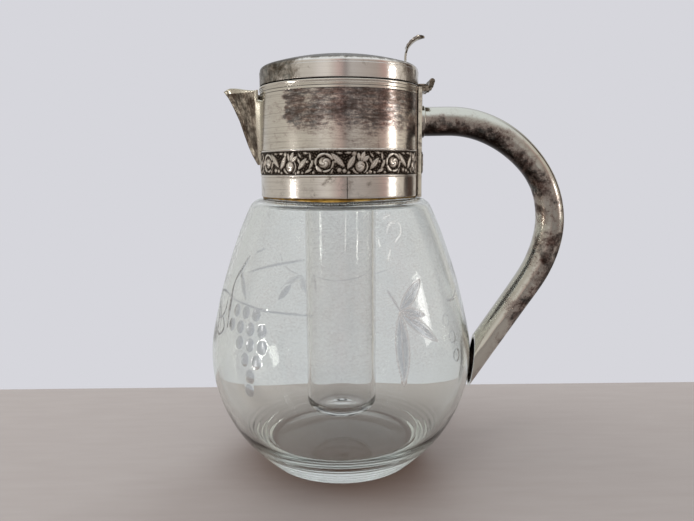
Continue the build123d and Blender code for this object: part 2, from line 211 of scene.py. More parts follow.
def platedSilver(name, plate, tones, cover, lines=0.0, spot=7.0, fades=(), tarnishAndShadeSide=None, patch=None,
                 shine=0.16, dull=0.40, streak=1.0, grooves=()):
    # silver plate: a warm mirror where rubbed, clouded brown and blue-grey and duller where tarnished
    # plate: clean colour; tones: thin, red-brown, blue-grey and heavy tarnish; cover: share tarnished
    # lines: strength of turning marks; spot: a cloud's width in mm
    # streak: how far a cloud is drawn out round the jug
    # fades: more or less tarnish along an axis, as (axis, start mm, end mm, first amount, last amount)
    material, tree, place, xyz = newMaterial(name)
    thin, red, cool, heavy = [colour(tone) for tone in tones]
    drawn = addNode(tree, "Mapping", {"Vector": place, "Scale": (1, 1, streak)})
    moreDrawn = addNode(tree, "Mapping", {"Vector": place, "Scale": (1, 1, 1.4 * streak)})
    broad = addNode(tree, "TexNoise", {"Vector": place, "Scale": 1 / (2.4 * spot * mm), "Detail": 3.0,
                                       "Roughness": 0.55, "Distortion": 0.7})
    cloud = addNode(tree, "TexNoise", {"Vector": drawn, "Scale": 1 / (spot * mm), "Detail": 10.0,
                                       "Roughness": 0.70, "Distortion": 0.4})
    hue = addNode(tree, "TexNoise", {"Vector": moreDrawn, "Scale": 1 / (1.5 * spot * mm), "Detail": 6.0,
                                     "Roughness": 0.65})
    speck = addNode(tree, "TexNoise", {"Vector": place, "Scale": 1 / (1.1 * mm), "Detail": 6.0,
                                       "Roughness": 0.75})
    level = addNode(tree, "Math", {"operation": "MULTIPLY", 0: cloud, 1: 0.58})
    level = addNode(tree, "Math", {"operation": "MULTIPLY_ADD", 0: broad, 1: 0.42, 2: level})
    level = addNode(tree, "Math", {"operation": "MULTIPLY_ADD", 0: speck, 1: 0.30, 2: level})
    extra = [addNode(tree, "MapRange", {
        "interpolation_type": "SMOOTHSTEP", "Value": xyz[axis], "From Min": start * mm, "From Max": end * mm,
        "To Min": first, "To Max": last}) for axis, start, end, first, last in fades]
    if tarnishAndShadeSide:
        # more tarnish on the given side: tarnish that the cloth misses, and painted shade on the undersides
        normal = addNode(tree, "NewGeometry", {}, "Normal")
        extra.append(addNode(tree, "VectorMath", {"operation": "DOT_PRODUCT", 0: normal, 1: tarnishAndShadeSide}, "Value"))
    if patch:
        extra.append(patch(tree, place, xyz))
    for amount in extra:
        level = addNode(tree, "Math", {"operation": "ADD", 0: level, 1: amount})
    edge = 0.77 - 0.30 * cover
    film, brown, deep = [addNode(tree, "MapRange", {
        "interpolation_type": "SMOOTHSTEP", "Value": level, "From Min": edge + low, "From Max": edge + high})
        for low, high in ((-0.10, 0.08), (0.0, 0.14), (0.04, 0.24))]
    hue = addNode(tree, "ValToRGB", {"Fac": hue, "stops": ((0.36, "#000000"), (0.62, "#ffffff"))})
    pit = addNode(tree, "MapRange", {"Value": speck, "From Min": 0.66, "From Max": 0.76, "To Max": 0.55})
    stain = addNode(tree, "Mix", {"data_type": "RGBA", 0: hue, 6: red, 7: cool}, 2)
    stain = addNode(tree, "Mix", {"data_type": "RGBA", 0: brown, 6: thin, 7: stain}, 2)
    shade = colour(plate)
    layers = [(film, stain), (deep, heavy), (pit, colour("#3d3129"))]
    rough = addNode(tree, "Math", {"operation": "MULTIPLY_ADD", 0: film, 1: dull - shine,
                                   2: shine - 0.06 - 0.13 * lines})
    rough = addNode(tree, "Math", {"operation": "MULTIPLY_ADD", 0: cloud, 1: 0.12, 2: rough})
    swell = addNode(tree, "TexNoise", {"Vector": place, "Scale": 1 / (14 * mm), "Detail": 1.5,
                                       "Roughness": 0.55})
    heights = [(swell, 0.40), (speck, 0.02)]
    if lines:
        # turning marks about 0.5 mm apart, drawn coarser than the real 0.1 mm so that they show
        fine = addNode(tree, "Mapping", {"Vector": place, "Scale": (1, 1, 110)})
        mark = addNode(tree, "TexNoise", {"Vector": fine, "Scale": 1 / (60 * mm), "Detail": 3.0,
                                          "Roughness": 0.75})
        rough = addNode(tree, "Math", {"operation": "MULTIPLY_ADD", 0: mark, 1: 0.26 * lines, 2: rough})
        dark = addNode(tree, "MapRange", {"Value": mark, "From Min": 0.50, "From Max": 0.72,
                                          "To Max": 0.45 * lines})
        heights.append((mark, 0.06 * lines))
        layers.append((dark, colour("#6f665d")))
    for height in grooves:
        away = addNode(tree, "Math", {"operation": "SUBTRACT", 0: xyz[2], 1: height * mm})
        away = addNode(tree, "Math", {"operation": "ABSOLUTE", 0: away})
        groove = addNode(tree, "MapRange", {"interpolation_type": "SMOOTHSTEP", "Value": away,
                                            "From Min": 0.10 * mm, "From Max": 0.32 * mm, "To Min": 0.75,
                                            "To Max": 0.0})
        heights.append((groove, -0.667))
        layers.append((groove, colour("#2c241f")))
    for share, tone in layers:
        shade = addNode(tree, "Mix", {"data_type": "RGBA", 0: share, 6: shade, 7: tone}, 2)
    height = 0.0
    for source, amount in heights:
        height = addNode(tree, "Math", {"operation": "MULTIPLY_ADD", 0: source, 1: amount, 2: height})
    bump = addNode(tree, "Bump", {"Strength": 0.35, "Distance": 0.6 * mm, "Height": height})
    surface = addNode(tree, "BsdfPrincipled", {"Metallic": 1.0, "Base Color": shade, "Roughness": rough,
                                               "Normal": bump})
    addNode(tree, "OutputMaterial", {"Surface": surface})
    return material


def clearGlass(name, tint, film):
    # soda glass: sharp highlights, almost no colour, a thin white film of dried water marks;
    # where the wheel ground it, it is matt, scatters light both ways and glows when lit from behind; the
    # white on some cut strokes is painted highlight
    material, tree, place, xyz = newMaterial(name)
    cut, frost = [addNode(tree, "Attribute", {"attribute_name": mark}, "Fac") for mark in ("cut", "frost")]
    smear = addNode(tree, "TexNoise", {"Vector": place, "Scale": 1 / (24 * mm), "Detail": 4.0,
                                       "Roughness": 0.55, "Distortion": 0.8})
    haze = addNode(tree, "MapRange", {"Value": smear, "From Min": 0.58, "From Max": 0.80, "To Max": 0.03})
    rough = addNode(tree, "Math", {"operation": "MULTIPLY_ADD", 0: cut, 1: 0.16, 2: haze})
    tall = addNode(tree, "Mapping", {"Vector": place, "Scale": (1, 1, 0.5)})
    wave = addNode(tree, "TexNoise", {"Vector": tall, "Scale": 1 / (30 * mm), "Detail": 1.5,
                                      "Roughness": 0.55})
    bump = addNode(tree, "Bump", {"Strength": 0.2, "Distance": 0.5 * mm, "Height": wave})
    # cut places are tinted a little darker: partly ground glass losing light, partly painted shade
    ground = addNode(tree, "Mix", {"data_type": "RGBA", 0: cut, 6: colour(tint), 7: colour("#dadcdf")}, 2)
    glass = addNode(tree, "BsdfGlass", {"IOR": 1.5, "Color": ground, "Roughness": rough, "Normal": bump})
    # the water marks stop where the belly is widest; each is about 2 mm wide
    above = addNode(tree, "MapRange", {"interpolation_type": "SMOOTHSTEP", "Value": xyz[2],
                                       "From Min": 62 * mm, "From Max": 84 * mm})
    flat = addNode(tree, "Mapping", {"Vector": place, "Scale": (1, 1, 1.7)})
    drops = addNode(tree, "TexNoise", {"Vector": flat, "Scale": 1 / (1.8 * mm), "Detail": 6.0,
                                       "Roughness": 0.7})
    cloudy = addNode(tree, "TexNoise", {"Vector": place, "Scale": 1 / (13 * mm), "Detail": 3.0,
                                        "Roughness": 0.55})
    cloudy = addNode(tree, "Math", {"operation": "MULTIPLY_ADD", "use_clamp": True, 0: cloudy, 1: 2.4,
                                    2: -0.6})
    dusty = addNode(tree, "MapRange", {"Value": drops, "From Min": 0.44, "From Max": 0.64, "To Max": film})
    for share in (cloudy, above):
        dusty = addNode(tree, "Math", {"operation": "MULTIPLY", 0: dusty, 1: share})
    white = dusty
    for mark, amount in ((cut, 0.07), (frost, 0.85)):
        part = addNode(tree, "Math", {"operation": "MULTIPLY", 0: mark, 1: amount})
        white = addNode(tree, "Math", {"operation": "MAXIMUM", 0: white, 1: part})
    matt = addNode(tree, "BsdfDiffuse", {"Color": colour("#f2f4f6")})
    glowing = addNode(tree, "BsdfTranslucent", {"Color": colour("#f8f9fb")})
    scattering = addNode(tree, "MixShader", {0: 0.6, 1: matt, 2: glowing})
    frosted = addNode(tree, "MixShader", {0: white, 1: glass, 2: scattering})
    # light that falls through the jug is a little weaker and warmer
    shadow = addNode(tree, "LightPath", {}, "Is Shadow Ray")
    passing = addNode(tree, "BsdfTransparent", {"Color": colour("#e2d8d2")})
    surface = addNode(tree, "MixShader", {0: shadow, 1: frosted, 2: passing})
    addNode(tree, "OutputMaterial", {"Surface": surface})
    return material


def collarPatch(tree, place, xyz):
    # the big brown patch on the front: clean at the left, under the rim, along the foot and behind
    tall = addNode(tree, "Mapping", {"Vector": place, "Scale": (0.2, 0.2, 1)})
    drips = addNode(tree, "TexNoise", {"Vector": tall, "Scale": 1 / (5 * mm), "Detail": 4.0,
                                       "Roughness": 0.55})
    ragged = addNode(tree, "Math", {"operation": "MULTIPLY_ADD", 0: drips, 1: 14 * mm, 2: xyz[0]})
    patch = 1.0
    for source, start, end, first, last in ((ragged, -25, -22, 0, 1), (xyz[1], 0, 0.01, 1, 0),
                                            (xyz[2], 224.6, 225.4, 1, 0), (xyz[2], 196, 213, 0.15, 1)):
        fade = addNode(tree, "MapRange", {"interpolation_type": "SMOOTHSTEP", "Value": source,
                                          "From Min": start * mm, "From Max": end * mm, "To Min": first,
                                          "To Max": last})
        patch = addNode(tree, "Math", {"operation": "MULTIPLY", 0: patch, 1: fade})
    return addNode(tree, "Math", {"operation": "MULTIPLY_ADD", 0: patch, 1: 0.25, 2: -0.12})


def friezeSilver(name):
    # stamped silver plate: bright rubbed tops over a ground blackened with liver of sulphur
    material, tree, place, xyz = newMaterial(name)
    raised = addNode(tree, "Attribute", {"attribute_name": "raised"}, "Fac")
    grain = addNode(tree, "TexNoise", {"Vector": place, "Scale": 1 / (0.7 * mm), "Detail": 4.0,
                                       "Roughness": 0.7})
    worn = addNode(tree, "Math", {"operation": "MULTIPLY_ADD", 0: grain, 1: 0.44, 2: -0.22})
    worn = addNode(tree, "Math", {"operation": "ADD", 0: raised, 1: worn})
    shade = addNode(tree, "ValToRGB", {"Fac": worn, "stops": (
        (0.02, "#1d1814"), (0.22, "#352c25"), (0.40, "#82776d"), (0.66, "#b8afa5"), (0.92, "#f2ece3"))})
    rough = addNode(tree, "Math", {"operation": "MULTIPLY_ADD", "use_clamp": True, 0: worn, 1: -0.36,
                                   2: 0.58})
    bump = addNode(tree, "Bump", {"Strength": 0.3, "Distance": 0.12 * mm, "Height": grain})
    surface = addNode(tree, "BsdfPrincipled", {"Metallic": 1.0, "Base Color": shade, "Roughness": rough,
                                               "Normal": bump})
    addNode(tree, "OutputMaterial", {"Surface": surface})
    return material


def agedPlaster(name):
    # plaster of Paris gone ochre with old silver polish: dull, uneven and crumbly
    material, tree, place, xyz = newMaterial(name)
    patch = addNode(tree, "TexNoise", {"Vector": place, "Scale": 1 / (9 * mm), "Detail": 5.0,
                                       "Roughness": 0.65})
    crumbs = addNode(tree, "TexNoise", {"Vector": place, "Scale": 1 / (1.4 * mm), "Detail": 5.0,
                                        "Roughness": 0.55})
    shade = addNode(tree, "ValToRGB", {"Fac": patch, "stops": (
        (0.30, "#3d2c12"), (0.48, "#8a661d"), (0.62, "#b8954a"), (0.80, "#d6c48e"))})
    bump = addNode(tree, "Bump", {"Strength": 0.6, "Distance": 0.4 * mm, "Height": crumbs})
    surface = addNode(tree, "BsdfPrincipled", {"Roughness": 0.78, "IOR": 1.5, "Base Color": shade,
                                               "Normal": bump})
    addNode(tree, "OutputMaterial", {"Surface": surface})
    return material


brownTones = ("#b9ada5", "#957d75", "#87898a", "#574b45")
greyTones = ("#a0978d", "#83776b", "#868985", "#4c4339")
# one entry for each silver finish; what each value does is noted in platedSilver
silverFinishes = {
    "collar": {"name": "silver plate, spun and tarnished brown", "plate": "#ddd7cd", "tones": brownTones,
               "cover": 0.40, "lines": 1.0, "spot": 5.0, "patch": collarPatch, "shine": 0.20, "dull": 0.21,
               "streak": 3.2, "grooves": (224.8, 226.4)},
    "band": {"name": "silver plate, rolled strip", "plate": "#dfd9d2", "tones": greyTones, "cover": 0.08,
             "lines": 0.5, "spot": 5.0, "shine": 0.17},
    # stained at the spout side and by the hinge; darker on top, partly tarnish and partly painted shade
    "lid": {"name": "silver plate, spun lid", "plate": "#e4dfda", "tones": greyTones, "cover": 0.36,
            "lines": 0.3, "spot": 4.5, "shine": 0.15, "dull": 0.36,
            "fades": ((0, -44, -10, 0.17, -0.12), (0, 26, 40, 0, 0.12), (2, 239.5, 242, 0, 0.32))},
    # paler along the top edge and on the strip soldered to the collar: partly less tarnish, partly painted
    # highlight along those edges
    "spout": {"name": "silver plate, folded sheet", "plate": "#cfc9b9",
              "tones": ("#a2988a", "#7d6f63", "#7c776c", "#40362e"), "cover": 0.52, "spot": 3.2,
              "shine": 0.26, "dull": 0.46, "streak": 0.5,
              "fades": ((2, 226.6, 227.6, 0, -0.34), (0, -50, -48.4, 0.08, -0.20))},
    # black underneath, partly tarnish and partly painted shade; lighter over the lower stretch
    "handle": {"name": "silver plate, bent tube with black tarnish", "plate": "#cdcbc2",
               "tones": ("#a89c94", "#7a625a", "#6a6c69", "#271e1a"), "cover": 0.53, "spot": 6.0,
               "shine": 0.12, "dull": 0.34, "tarnishAndShadeSide": (0.02, 0, -0.27),
               "fades": ((2, 62, 104, -0.20, -0.02),)},
    "plate": {"name": "silver plate, strip behind the handle", "plate": "#d2cbbd", "tones": greyTones,
              "cover": 0.22, "spot": 5.0, "shine": 0.2},
    "hinge": {"name": "silver plate, cast and darkened", "plate": "#b5ada0",
              "tones": ("#857a6c", "#5a4b40", "#55564c", "#231d18"), "cover": 0.50, "spot": 2.2,
              "shine": 0.24, "dull": 0.46},
    # lighter along the stalk, darker towards the leaf's end
    "thumb": {"name": "silver plate, bent leaf", "plate": "#c6c1b8", "tones": greyTones, "cover": 0.40,
              "spot": 2.2, "shine": 0.22, "dull": 0.42, "fades": ((0, 44, 50, -0.30, 0.16),)},
    "inner": {"name": "silver plate, inside the collar", "plate": "#bdb6aa", "tones": greyTones,
              "cover": 0.35, "lines": 0.5},
    # painted shade: a near-black plate put in gaps and hollows where there would only be shade
    "black": {"name": "silver plate painted black as shade in gaps and hollows", "plate": "#6f665c",
              "tones": ("#4a4139", "#3a2f29", "#34322f", "#15110f"), "cover": 0.85, "spot": 3.0, "shine": 0.4,
              "dull": 0.6},
}
silver = {piece: platedSilver(**finish) for piece, finish in silverFinishes.items()}
blownGlass = clearGlass("blown clear glass, wheel cut", "#fcfdfc", 0.20)
drawnGlass = clearGlass("drawn clear glass tube", "#fdfdfd", 0.07)
wornFrieze = friezeSilver("silver plate, stamped and blackened")
plaster = agedPlaster("aged ochre plaster")
print("materials made")


glassHigh = boxMm("glass_body")[1]
collarHigh = boxMm("collar_shell")[1]
cementLow, cementHigh = boxMm("neck_cement")
jug = {
    "belly": glassHigh[1],
    "footRadius": 46.6,
    "footFlat": 7.0,
    "footLift": 1.2,
    "neck": 44.9,
    "neckWall": 2.8,
    "neckFillet": 2.5,
    "shoulderHeight": 164.5,
    "shoulderRadius": 9.0,
    "shoulderTurn": 65.8,
    "floorRadius": 42.0,
    "floorHeight": 13.4,
    "ringRadius": 49.5,
    "rippleDepth": 0.12,
    "rippleWidth": 4.2,
    "rippleTop": 22.0,
    "flank": [(53.2, 6.0), (58.9, 12), (64.2, 18.2), (71.5, 30), (76.6, 42), (79.8, 54), (81.0, 67.5),
              (80.3, 79), (78.2, 90), (75.5, 102), (72.3, 114), (68.5, 126), (64.4, 138), (60.0, 149.3)],
    "inside": [(61.8, 137), (69.6, 113), (75.5, 89.5), (78.1, 67.5), (76.9, 54), (73.9, 43), (68.9, 31.5),
               (61.5, 21.0), (54.5, 16.2), (49.5, 14.4)],
    "cutBottom": 58.0,
    "cutTop": 140.0,
    "cell": 0.5,
    "cutSectors": ((-80, -2), (9, 62)),  # degrees from the front, round to the handle side
}
turn = jug["shoulderTurn"]
filletCentre = (jug["neck"] + jug["neckFillet"], jug["shoulderHeight"] + jug["neckFillet"])
shoulderCentre = (filletCentre[0], jug["shoulderHeight"] - jug["shoulderRadius"])
mouth = jug["neckWall"] / 2
neckTop = glassHigh[2]


def shoulderLine(radius, count):
    return arcPoints(shoulderCentre, radius, 90 - turn, turn, count)


outerStart = (jug["footRadius"] + 1.6, jug["footLift"])
outerFlank = smoothCurve([outerStart, *jug["flank"], tuple(shoulderLine(jug["shoulderRadius"], 2)[0])], 900)
innerFlank = smoothCurve([tuple(shoulderLine(jug["shoulderRadius"] - jug["neckWall"], 2)[0]), *jug["inside"],
                          (jug["floorRadius"], jug["floorHeight"])], 380)


def shifted(line, amount):
    along = np.gradient(line, axis=0)
    normal = np.stack([-along[:, 1], along[:, 0]], 1) / np.linalg.norm(along, axis=1)[:, None]
    return line + normal * amount[:, None]


def lengthOf(line):
    return np.r_[0, np.cumsum(np.linalg.norm(np.diff(line, axis=0), axis=1))]


# the thin ring round the floor
innerFlank = shifted(innerFlank, -0.75 * np.exp(-((innerFlank[:, 0] - jug["ringRadius"]) / 0.8) ** 2)
                     * (innerFlank[:, 1] < 30))
innerFlank = np.vstack([innerFlank[:300:6], innerFlank[300:]])
# soft ripples left by the mould round the foot
outerFlank = shifted(outerFlank, jug["rippleDepth"] * (1 - smoothStep(outerFlank[:, 1], 13, jug["rippleTop"]))
                     * (1 - np.cos(2 * np.pi * lengthOf(outerFlank) / jug["rippleWidth"])))


def grapeCut(arc, up, centreArc, centreUp, size=3.7, deep=0.40):
    away = np.hypot((arc - centreArc) / (0.98 * size), (up - centreUp) / (1.06 * size))
    return deep * np.clip(1 - away**2, 0, None)


def leafCut(arc, up, foot, tip, half, deep=0.32):
    # a leaf with a ground outline, a vein and hatching; foot and tip are (degrees, height)
    footArc, tipArc = foot[0] * arcPerDegree, tip[0] * arcPerDegree
    length = math.hypot(tipArc - footArc, tip[1] - foot[1])
    dirArc, dirUp = (tipArc - footArc) / length, (tip[1] - foot[1]) / length
    along = ((arc - footArc) * dirArc + (up - foot[1]) * dirUp) / length
    across = -(arc - footArc) * dirUp + (up - foot[1]) * dirArc
    width = half * np.sin(np.pi * np.clip(along, 0, 1) ** 0.9) ** 0.85 + 1e-6
    within = (along > 0) & (along < 1)
    inside = within & (np.abs(across) < width)
    facet = np.where(inside, deep * (1 - np.abs(across) / width) * np.clip(width / half, 0, 1), 0)
    outline = np.where((along > -0.01) & (along < 1.01),
                       np.clip(1 - np.abs(np.abs(across) - width) / 0.42, 0, 1), 0)
    vein = np.where(within, np.clip(1 - np.abs(across) / 0.36, 0, 1), 0)
    comb = np.clip(np.sin(2 * np.pi * (along * length - 0.9 * np.abs(across)) / 1.9) * 2 - 1, 0, 1)
    hatch = np.where(inside & (across > 0) & (half > 2), comb, 0)
    return facet + 0.14 * outline + 0.10 * vein, np.maximum(np.maximum(outline, 0.8 * vein), 0.45 * hatch)


def strokeCut(arc, up, line, half=0.55, deep=0.26):
    # a thin wheel stroke along a smooth line of (degrees, height), tapering at both ends
    route = smoothCurve([(a * arcPerDegree, z) for a, z in line], 12 * len(line))
    best = np.zeros_like(arc)
    for i, (a, b) in enumerate(zip(route[:-1], route[1:])):
        near = (np.abs(arc - a[0]) < 4) & (np.abs(up - a[1]) < 4)
        if not near.any():
            continue
        d = b - a
        t = np.clip(((arc[near] - a[0]) * d[0] + (up[near] - a[1]) * d[1]) / (d @ d), 0, 1)
        away = np.hypot(arc[near] - a[0] - t * d[0], up[near] - a[1] - t * d[1])
        taper = math.sin(math.pi * (0.08 + 0.84 * i / len(route)))
        best[near] = np.maximum(best[near], deep * taper * np.clip(1 - away / (half * 1.4), 0, 1))
    return best


arcPerDegree = jug["belly"] * math.pi / 180
engraving = {
    "grapeTop": 104.5,
    "grapePitch": 8.2,
    "grapeStep": 6.4,
    "grapeRows": ((3, -44.1), (4, -43.1), (3, -39.0), (2, -37.8), (1, -37.7), (1, -38.2)),  # count, middle
    "leaves": (((24.8, 107.7), (38.0, 122.4), 3.4), ((24.9, 107.2), (42.2, 88.4), 3.2),
               ((25.6, 107.4), (36.8, 103.6), 2.6),
               ((24.6, 106.5), (23.9, 69.0), 4.2), ((-22.3, 121.6), (-27.2, 113.8), 1.7),
               ((-50.4, 134.4), (-58.0, 119.8), 1.2), ((-58.2, 115.5), (-56.3, 93.6), 1.2),
               ((-54.0, 124.8), (-45.6, 111.0), 1.6)),
    "strokes": (((-57.5, 109.7), (-44.3, 108.5), (-34.9, 107.4), (-27.1, 107.2), (-11.7, 106.7)),
                ((-48.6, 125.3), (-39.4, 128.8), (-29.2, 131.9), (-17.6, 134.6)),
                ((-57.3, 121.5), (-58.4, 114.0), (-56.6, 109.0)),
                ((-75.5, 110.2), (-66.0, 111.8), (-57.5, 109.7)),
                ((-75.5, 110.2), (-74.0, 103.0), (-70.8, 99.4), (-67.8, 88.5)),
                ((-61.4, 110.0), (-62.5, 100.0), (-67.0, 96.5), (-70.8, 99.4)),
                ((-67.8, 88.5), (-63.0, 88.0), (-59.9, 92.1), (-62.5, 97.5)),
                ((20.0, 118.8), (22.4, 113.6), (24.8, 107.7)),
                ((53.3, 108.4), (59.5, 107.5), (66.5, 111.1)),
                ((-40.2, 139.0), (-45.5, 136.6))),
    "rings": ((49.9, 98.0, 3.2), (53.7, 77.3, 3.2), (52.6, 88.0, 3.2)),
}


def cutDepth(arc, up):
    # how deep the wheel went, and how matt it left the glass
    e = engraving
    depth, frost = np.zeros_like(arc), np.zeros_like(arc)
    for row, (count, middle) in enumerate(e["grapeRows"]):
        for k in range(count):
            centre = (middle + (k - (count - 1) / 2) * e["grapeStep"]) * arcPerDegree
            depth = np.maximum(depth, grapeCut(arc, up, centre, e["grapeTop"] - row * e["grapePitch"]))
    # leaves and strokes on the right get more white: partly matt cutting, partly painted highlight
    for foot, tip, half in e["leaves"]:
        cut, matt = leafCut(arc, up, foot, tip, half)
        depth, frost = np.maximum(depth, cut), np.maximum(frost, matt * (1.0 if foot[0] > 0 else 0.25))
    for line in e["strokes"]:
        cut = strokeCut(arc, up, line)
        depth, frost = np.maximum(depth, cut), np.maximum(frost, cut * (2.4 if line[0][0] > 0 else 0.5))
    for angle, height, size in e["rings"]:
        away = np.abs(np.hypot(arc - angle * arcPerDegree, up - height) - size)
        depth = np.maximum(depth, 0.10 * np.clip(1 - away / 0.6, 0, None))
    return depth, frost


def backDepth(arc, up):
    # the back carries a trailing shoot and a few short strokes under the shoulder, frosted white as painted
    # highlights
    depth, frost = np.zeros_like(arc), np.zeros_like(arc)
    for line in backCutting["strokes"]:
        cut = strokeCut(arc, up, line, deep=0.18)
        depth, frost = np.maximum(depth, cut), np.maximum(frost, cut * 1.2)
    for line in backCutting["highlightStrokes"]:
        cut = strokeCut(arc, up, line, half=0.7, deep=0.2)
        depth, frost = np.maximum(depth, cut), np.maximum(frost, np.clip(cut * 9, 0, 1))
    for foot, tip, half in backCutting["leaves"]:
        cut, matt = leafCut(arc, up, foot, tip, half, deep=0.2)
        depth, frost = np.maximum(depth, cut), np.maximum(frost, matt * 0.2)
    return depth, frost


backCutting = {
    "strokes": (((-34.0, 112.0), (-20.0, 104.0), (4.0, 98.0), (24.0, 104.0)),
                ((24.0, 104.0), (34.0, 112.0), (40.0, 124.0))),
    "highlightStrokes": (((-4.8, 151.0), (-4.0, 137.8), (-3.4, 123.1)),
                ((-15.5, 138.6), (-13.5, 128.7), (-12.3, 118.6)),
                ((-20.2, 145.4), (-23.6, 149.0), (-27.7, 150.6)),
                ((-30.7, 145.8), (-33.9, 148.4), (-37.4, 149.8)),
                ((-31.8, 137.0), (-34.0, 141.5), (-36.6, 143.8), (-40.8, 144.8)),
                ((-40.8, 144.8), (-43.6, 143.5), (-43.5, 139.5), (-40.0, 134.6), (-36.4, 130.6)),
                ((-32.9, 125.8), (-31.2, 121.1), (-29.7, 116.4)), ((-25.0, 132.9), (-25.6, 126.9))),
    "leaves": (((24.0, 104.0), (36.0, 94.0), 2.6), ((24.0, 104.0), (20.0, 88.0), 2.6)),
}


def jugColumns():
    # angles from the front, dense where the cutting is, on both sides of the jug
    fine = jug["cell"] / arcPerDegree
    marks = [(start + side, stop + side) for side in (0, 180) for start, stop in jug["cutSectors"]]
    edges = sorted(marks)
    angles, here = [], edges[0][0]
    for (start, stop), following in zip(edges, edges[1:] + [(edges[0][0] + 360, 0)]):
        angles.extend(np.arange(start, stop, fine))
        gap = following[0] - stop
        angles.extend(stop + np.arange(max(1, int(gap / 2.0))) * gap / max(1, int(gap / 2.0)))
    return np.array(angles)


def jugRows():
    # profile points of the outer wall, dense where the cutting is
    rows, last = [outerFlank[0]], outerFlank[0]
    for p in outerFlank[1:]:
        step = jug["cell"] if jug["cutBottom"] < p[1] < jug["cutTop"] or p[1] < jug["rippleTop"] else 1.5
        if math.dist(p, last) >= step:
            rows.append(p)
            last = p
    return np.array(rows)


def buildJug():
    front = jugColumns()
    angles = front - 90
    flank = jugRows()
    outer = np.vstack([
        [(0, jug["footLift"]), (20, jug["footLift"] * 0.95), (34, jug["footLift"] * 0.5)],
        [(jug["footRadius"] - jug["footFlat"], 0.02), (jug["footRadius"] - 3.4, 0),
         (jug["footRadius"] - 0.3, 0), (jug["footRadius"] + 0.8, 0.35)],
        flank,
        shoulderLine(jug["shoulderRadius"], 14)[1:],
        arcPoints(filletCentre, jug["neckFillet"], 270, -90, 7)[1:],
        [(jug["neck"], neckTop - mouth)],
    ])
    points = turned(outer, angles).reshape(len(outer), len(angles), 3)
    wrapped = (front + 90) % 180 - 90  # the same places on the back
    arc, up = np.broadcast_arrays(wrapped[None, :] * arcPerDegree, outer[:, 1][:, None])
    depth, frost = cutDepth(arc.copy(), up.copy())
    behind = np.cos(np.radians(front)) < 0
    depth[:, behind], frost[:, behind] = backDepth(arc[:, behind].copy(), up[:, behind].copy())
    depth[(outer[:, 1] < 30) | (outer[:, 1] > 160)] = 0
    frost[depth <= 0] *= 0.6
    across = np.gradient(outer, axis=0)
    normal = np.stack([across[:, 1], -across[:, 0]], 1)
    normal /= np.linalg.norm(normal, axis=1)[:, None] + 1e-9
    a = np.radians(angles)
    push = np.stack([normal[:, 0][:, None] * np.cos(a), normal[:, 0][:, None] * np.sin(a),
                     normal[:, 1][:, None] + 0 * a], -1)
    points -= push * depth[..., None]
    inner = np.vstack([
        arcPoints((jug["neck"] - mouth, neckTop - mouth), mouth, 0, 180, 9)[1:],
        [(jug["neck"] - jug["neckWall"], filletCentre[1])],
        arcPoints(filletCentre, jug["neckFillet"] + jug["neckWall"], 180, 90, 6)[1:],
        shoulderLine(jug["shoulderRadius"] - jug["neckWall"], 9)[::-1][1:],
        innerFlank[1:],
        [(34, jug["floorHeight"] - 0.15), (22, jug["floorHeight"]), (10, jug["floorHeight"] + 0.15),
         (0, jug["floorHeight"] + 0.2)],
    ])
    innerAngles = np.arange(160) * 360 / 160 + angles[0]
    innerPoints = turned(inner, innerAngles)
    cols = len(angles)
    faces = gridFaces(len(outer), cols, wrapCols=True).tolist()
    base = len(outer) * cols
    faces += (gridFaces(len(inner), 160, wrapCols=True) + base).tolist()
    # stitch the last outer ring to the first inner ring by angle
    last = (len(outer) - 1) * cols
    i = j = 0
    while i < cols or j < 160:
        nextOuter = angles[i + 1] if i + 1 < cols else angles[0] + 360
        nextInner = innerAngles[j + 1] if j + 1 < 160 else innerAngles[0] + 360
        if j >= 160 or (i < cols and nextOuter <= nextInner):
            faces.append([last + i, last + (i + 1) % cols, base + j % 160])
            i += 1
        else:
            faces.append([last + i % cols, base + (j + 1) % 160, base + j])
            j += 1
    piece = addPiece("jugGlass", np.vstack([points.reshape(-1, 3), innerPoints]), faces, blownGlass,
                     "jug", ["glass_body"])
    return piece, depth, frost, points


def markCuts(piece, points, marks):
    # numbers at each vertex that say how the glass is ground there and where painted highlight whitens it,
    # for the finish
    flat = np.round(points.reshape(-1, 3) * mm, 6)
    order = {tuple(p): k for k, p in enumerate(flat)}
    found = [order.get(tuple(np.round(v.co, 6)), -1) for v in piece.data.vertices]
    for name, values in marks.items():
        values = np.r_[values.reshape(-1), 0.0]
        attribute = piece.data.attributes.new(name, "FLOAT", "POINT")
        attribute.data.foreach_set("value", [float(values[k]) for k in found])


jugGlass, cutMarks, frostAndHighlightMarks, cutPoints = buildJug()
markCuts(jugGlass, cutPoints, {"cut": smoothStep(cutMarks, 0.0, 0.12), "frost": frostAndHighlightMarks})
print("glass jug made:", len(jugGlass.data.polygons), "faces")


plasterBed = {
    "columns": 420,
    "squeezedAt": 264,      # degrees from +X; more of it was squeezed out at the front
    "squeezedWidth": 26,
    "squeezedOut": 2.5,
    "sag": 1.2,
    "crumb": 0.3,
}


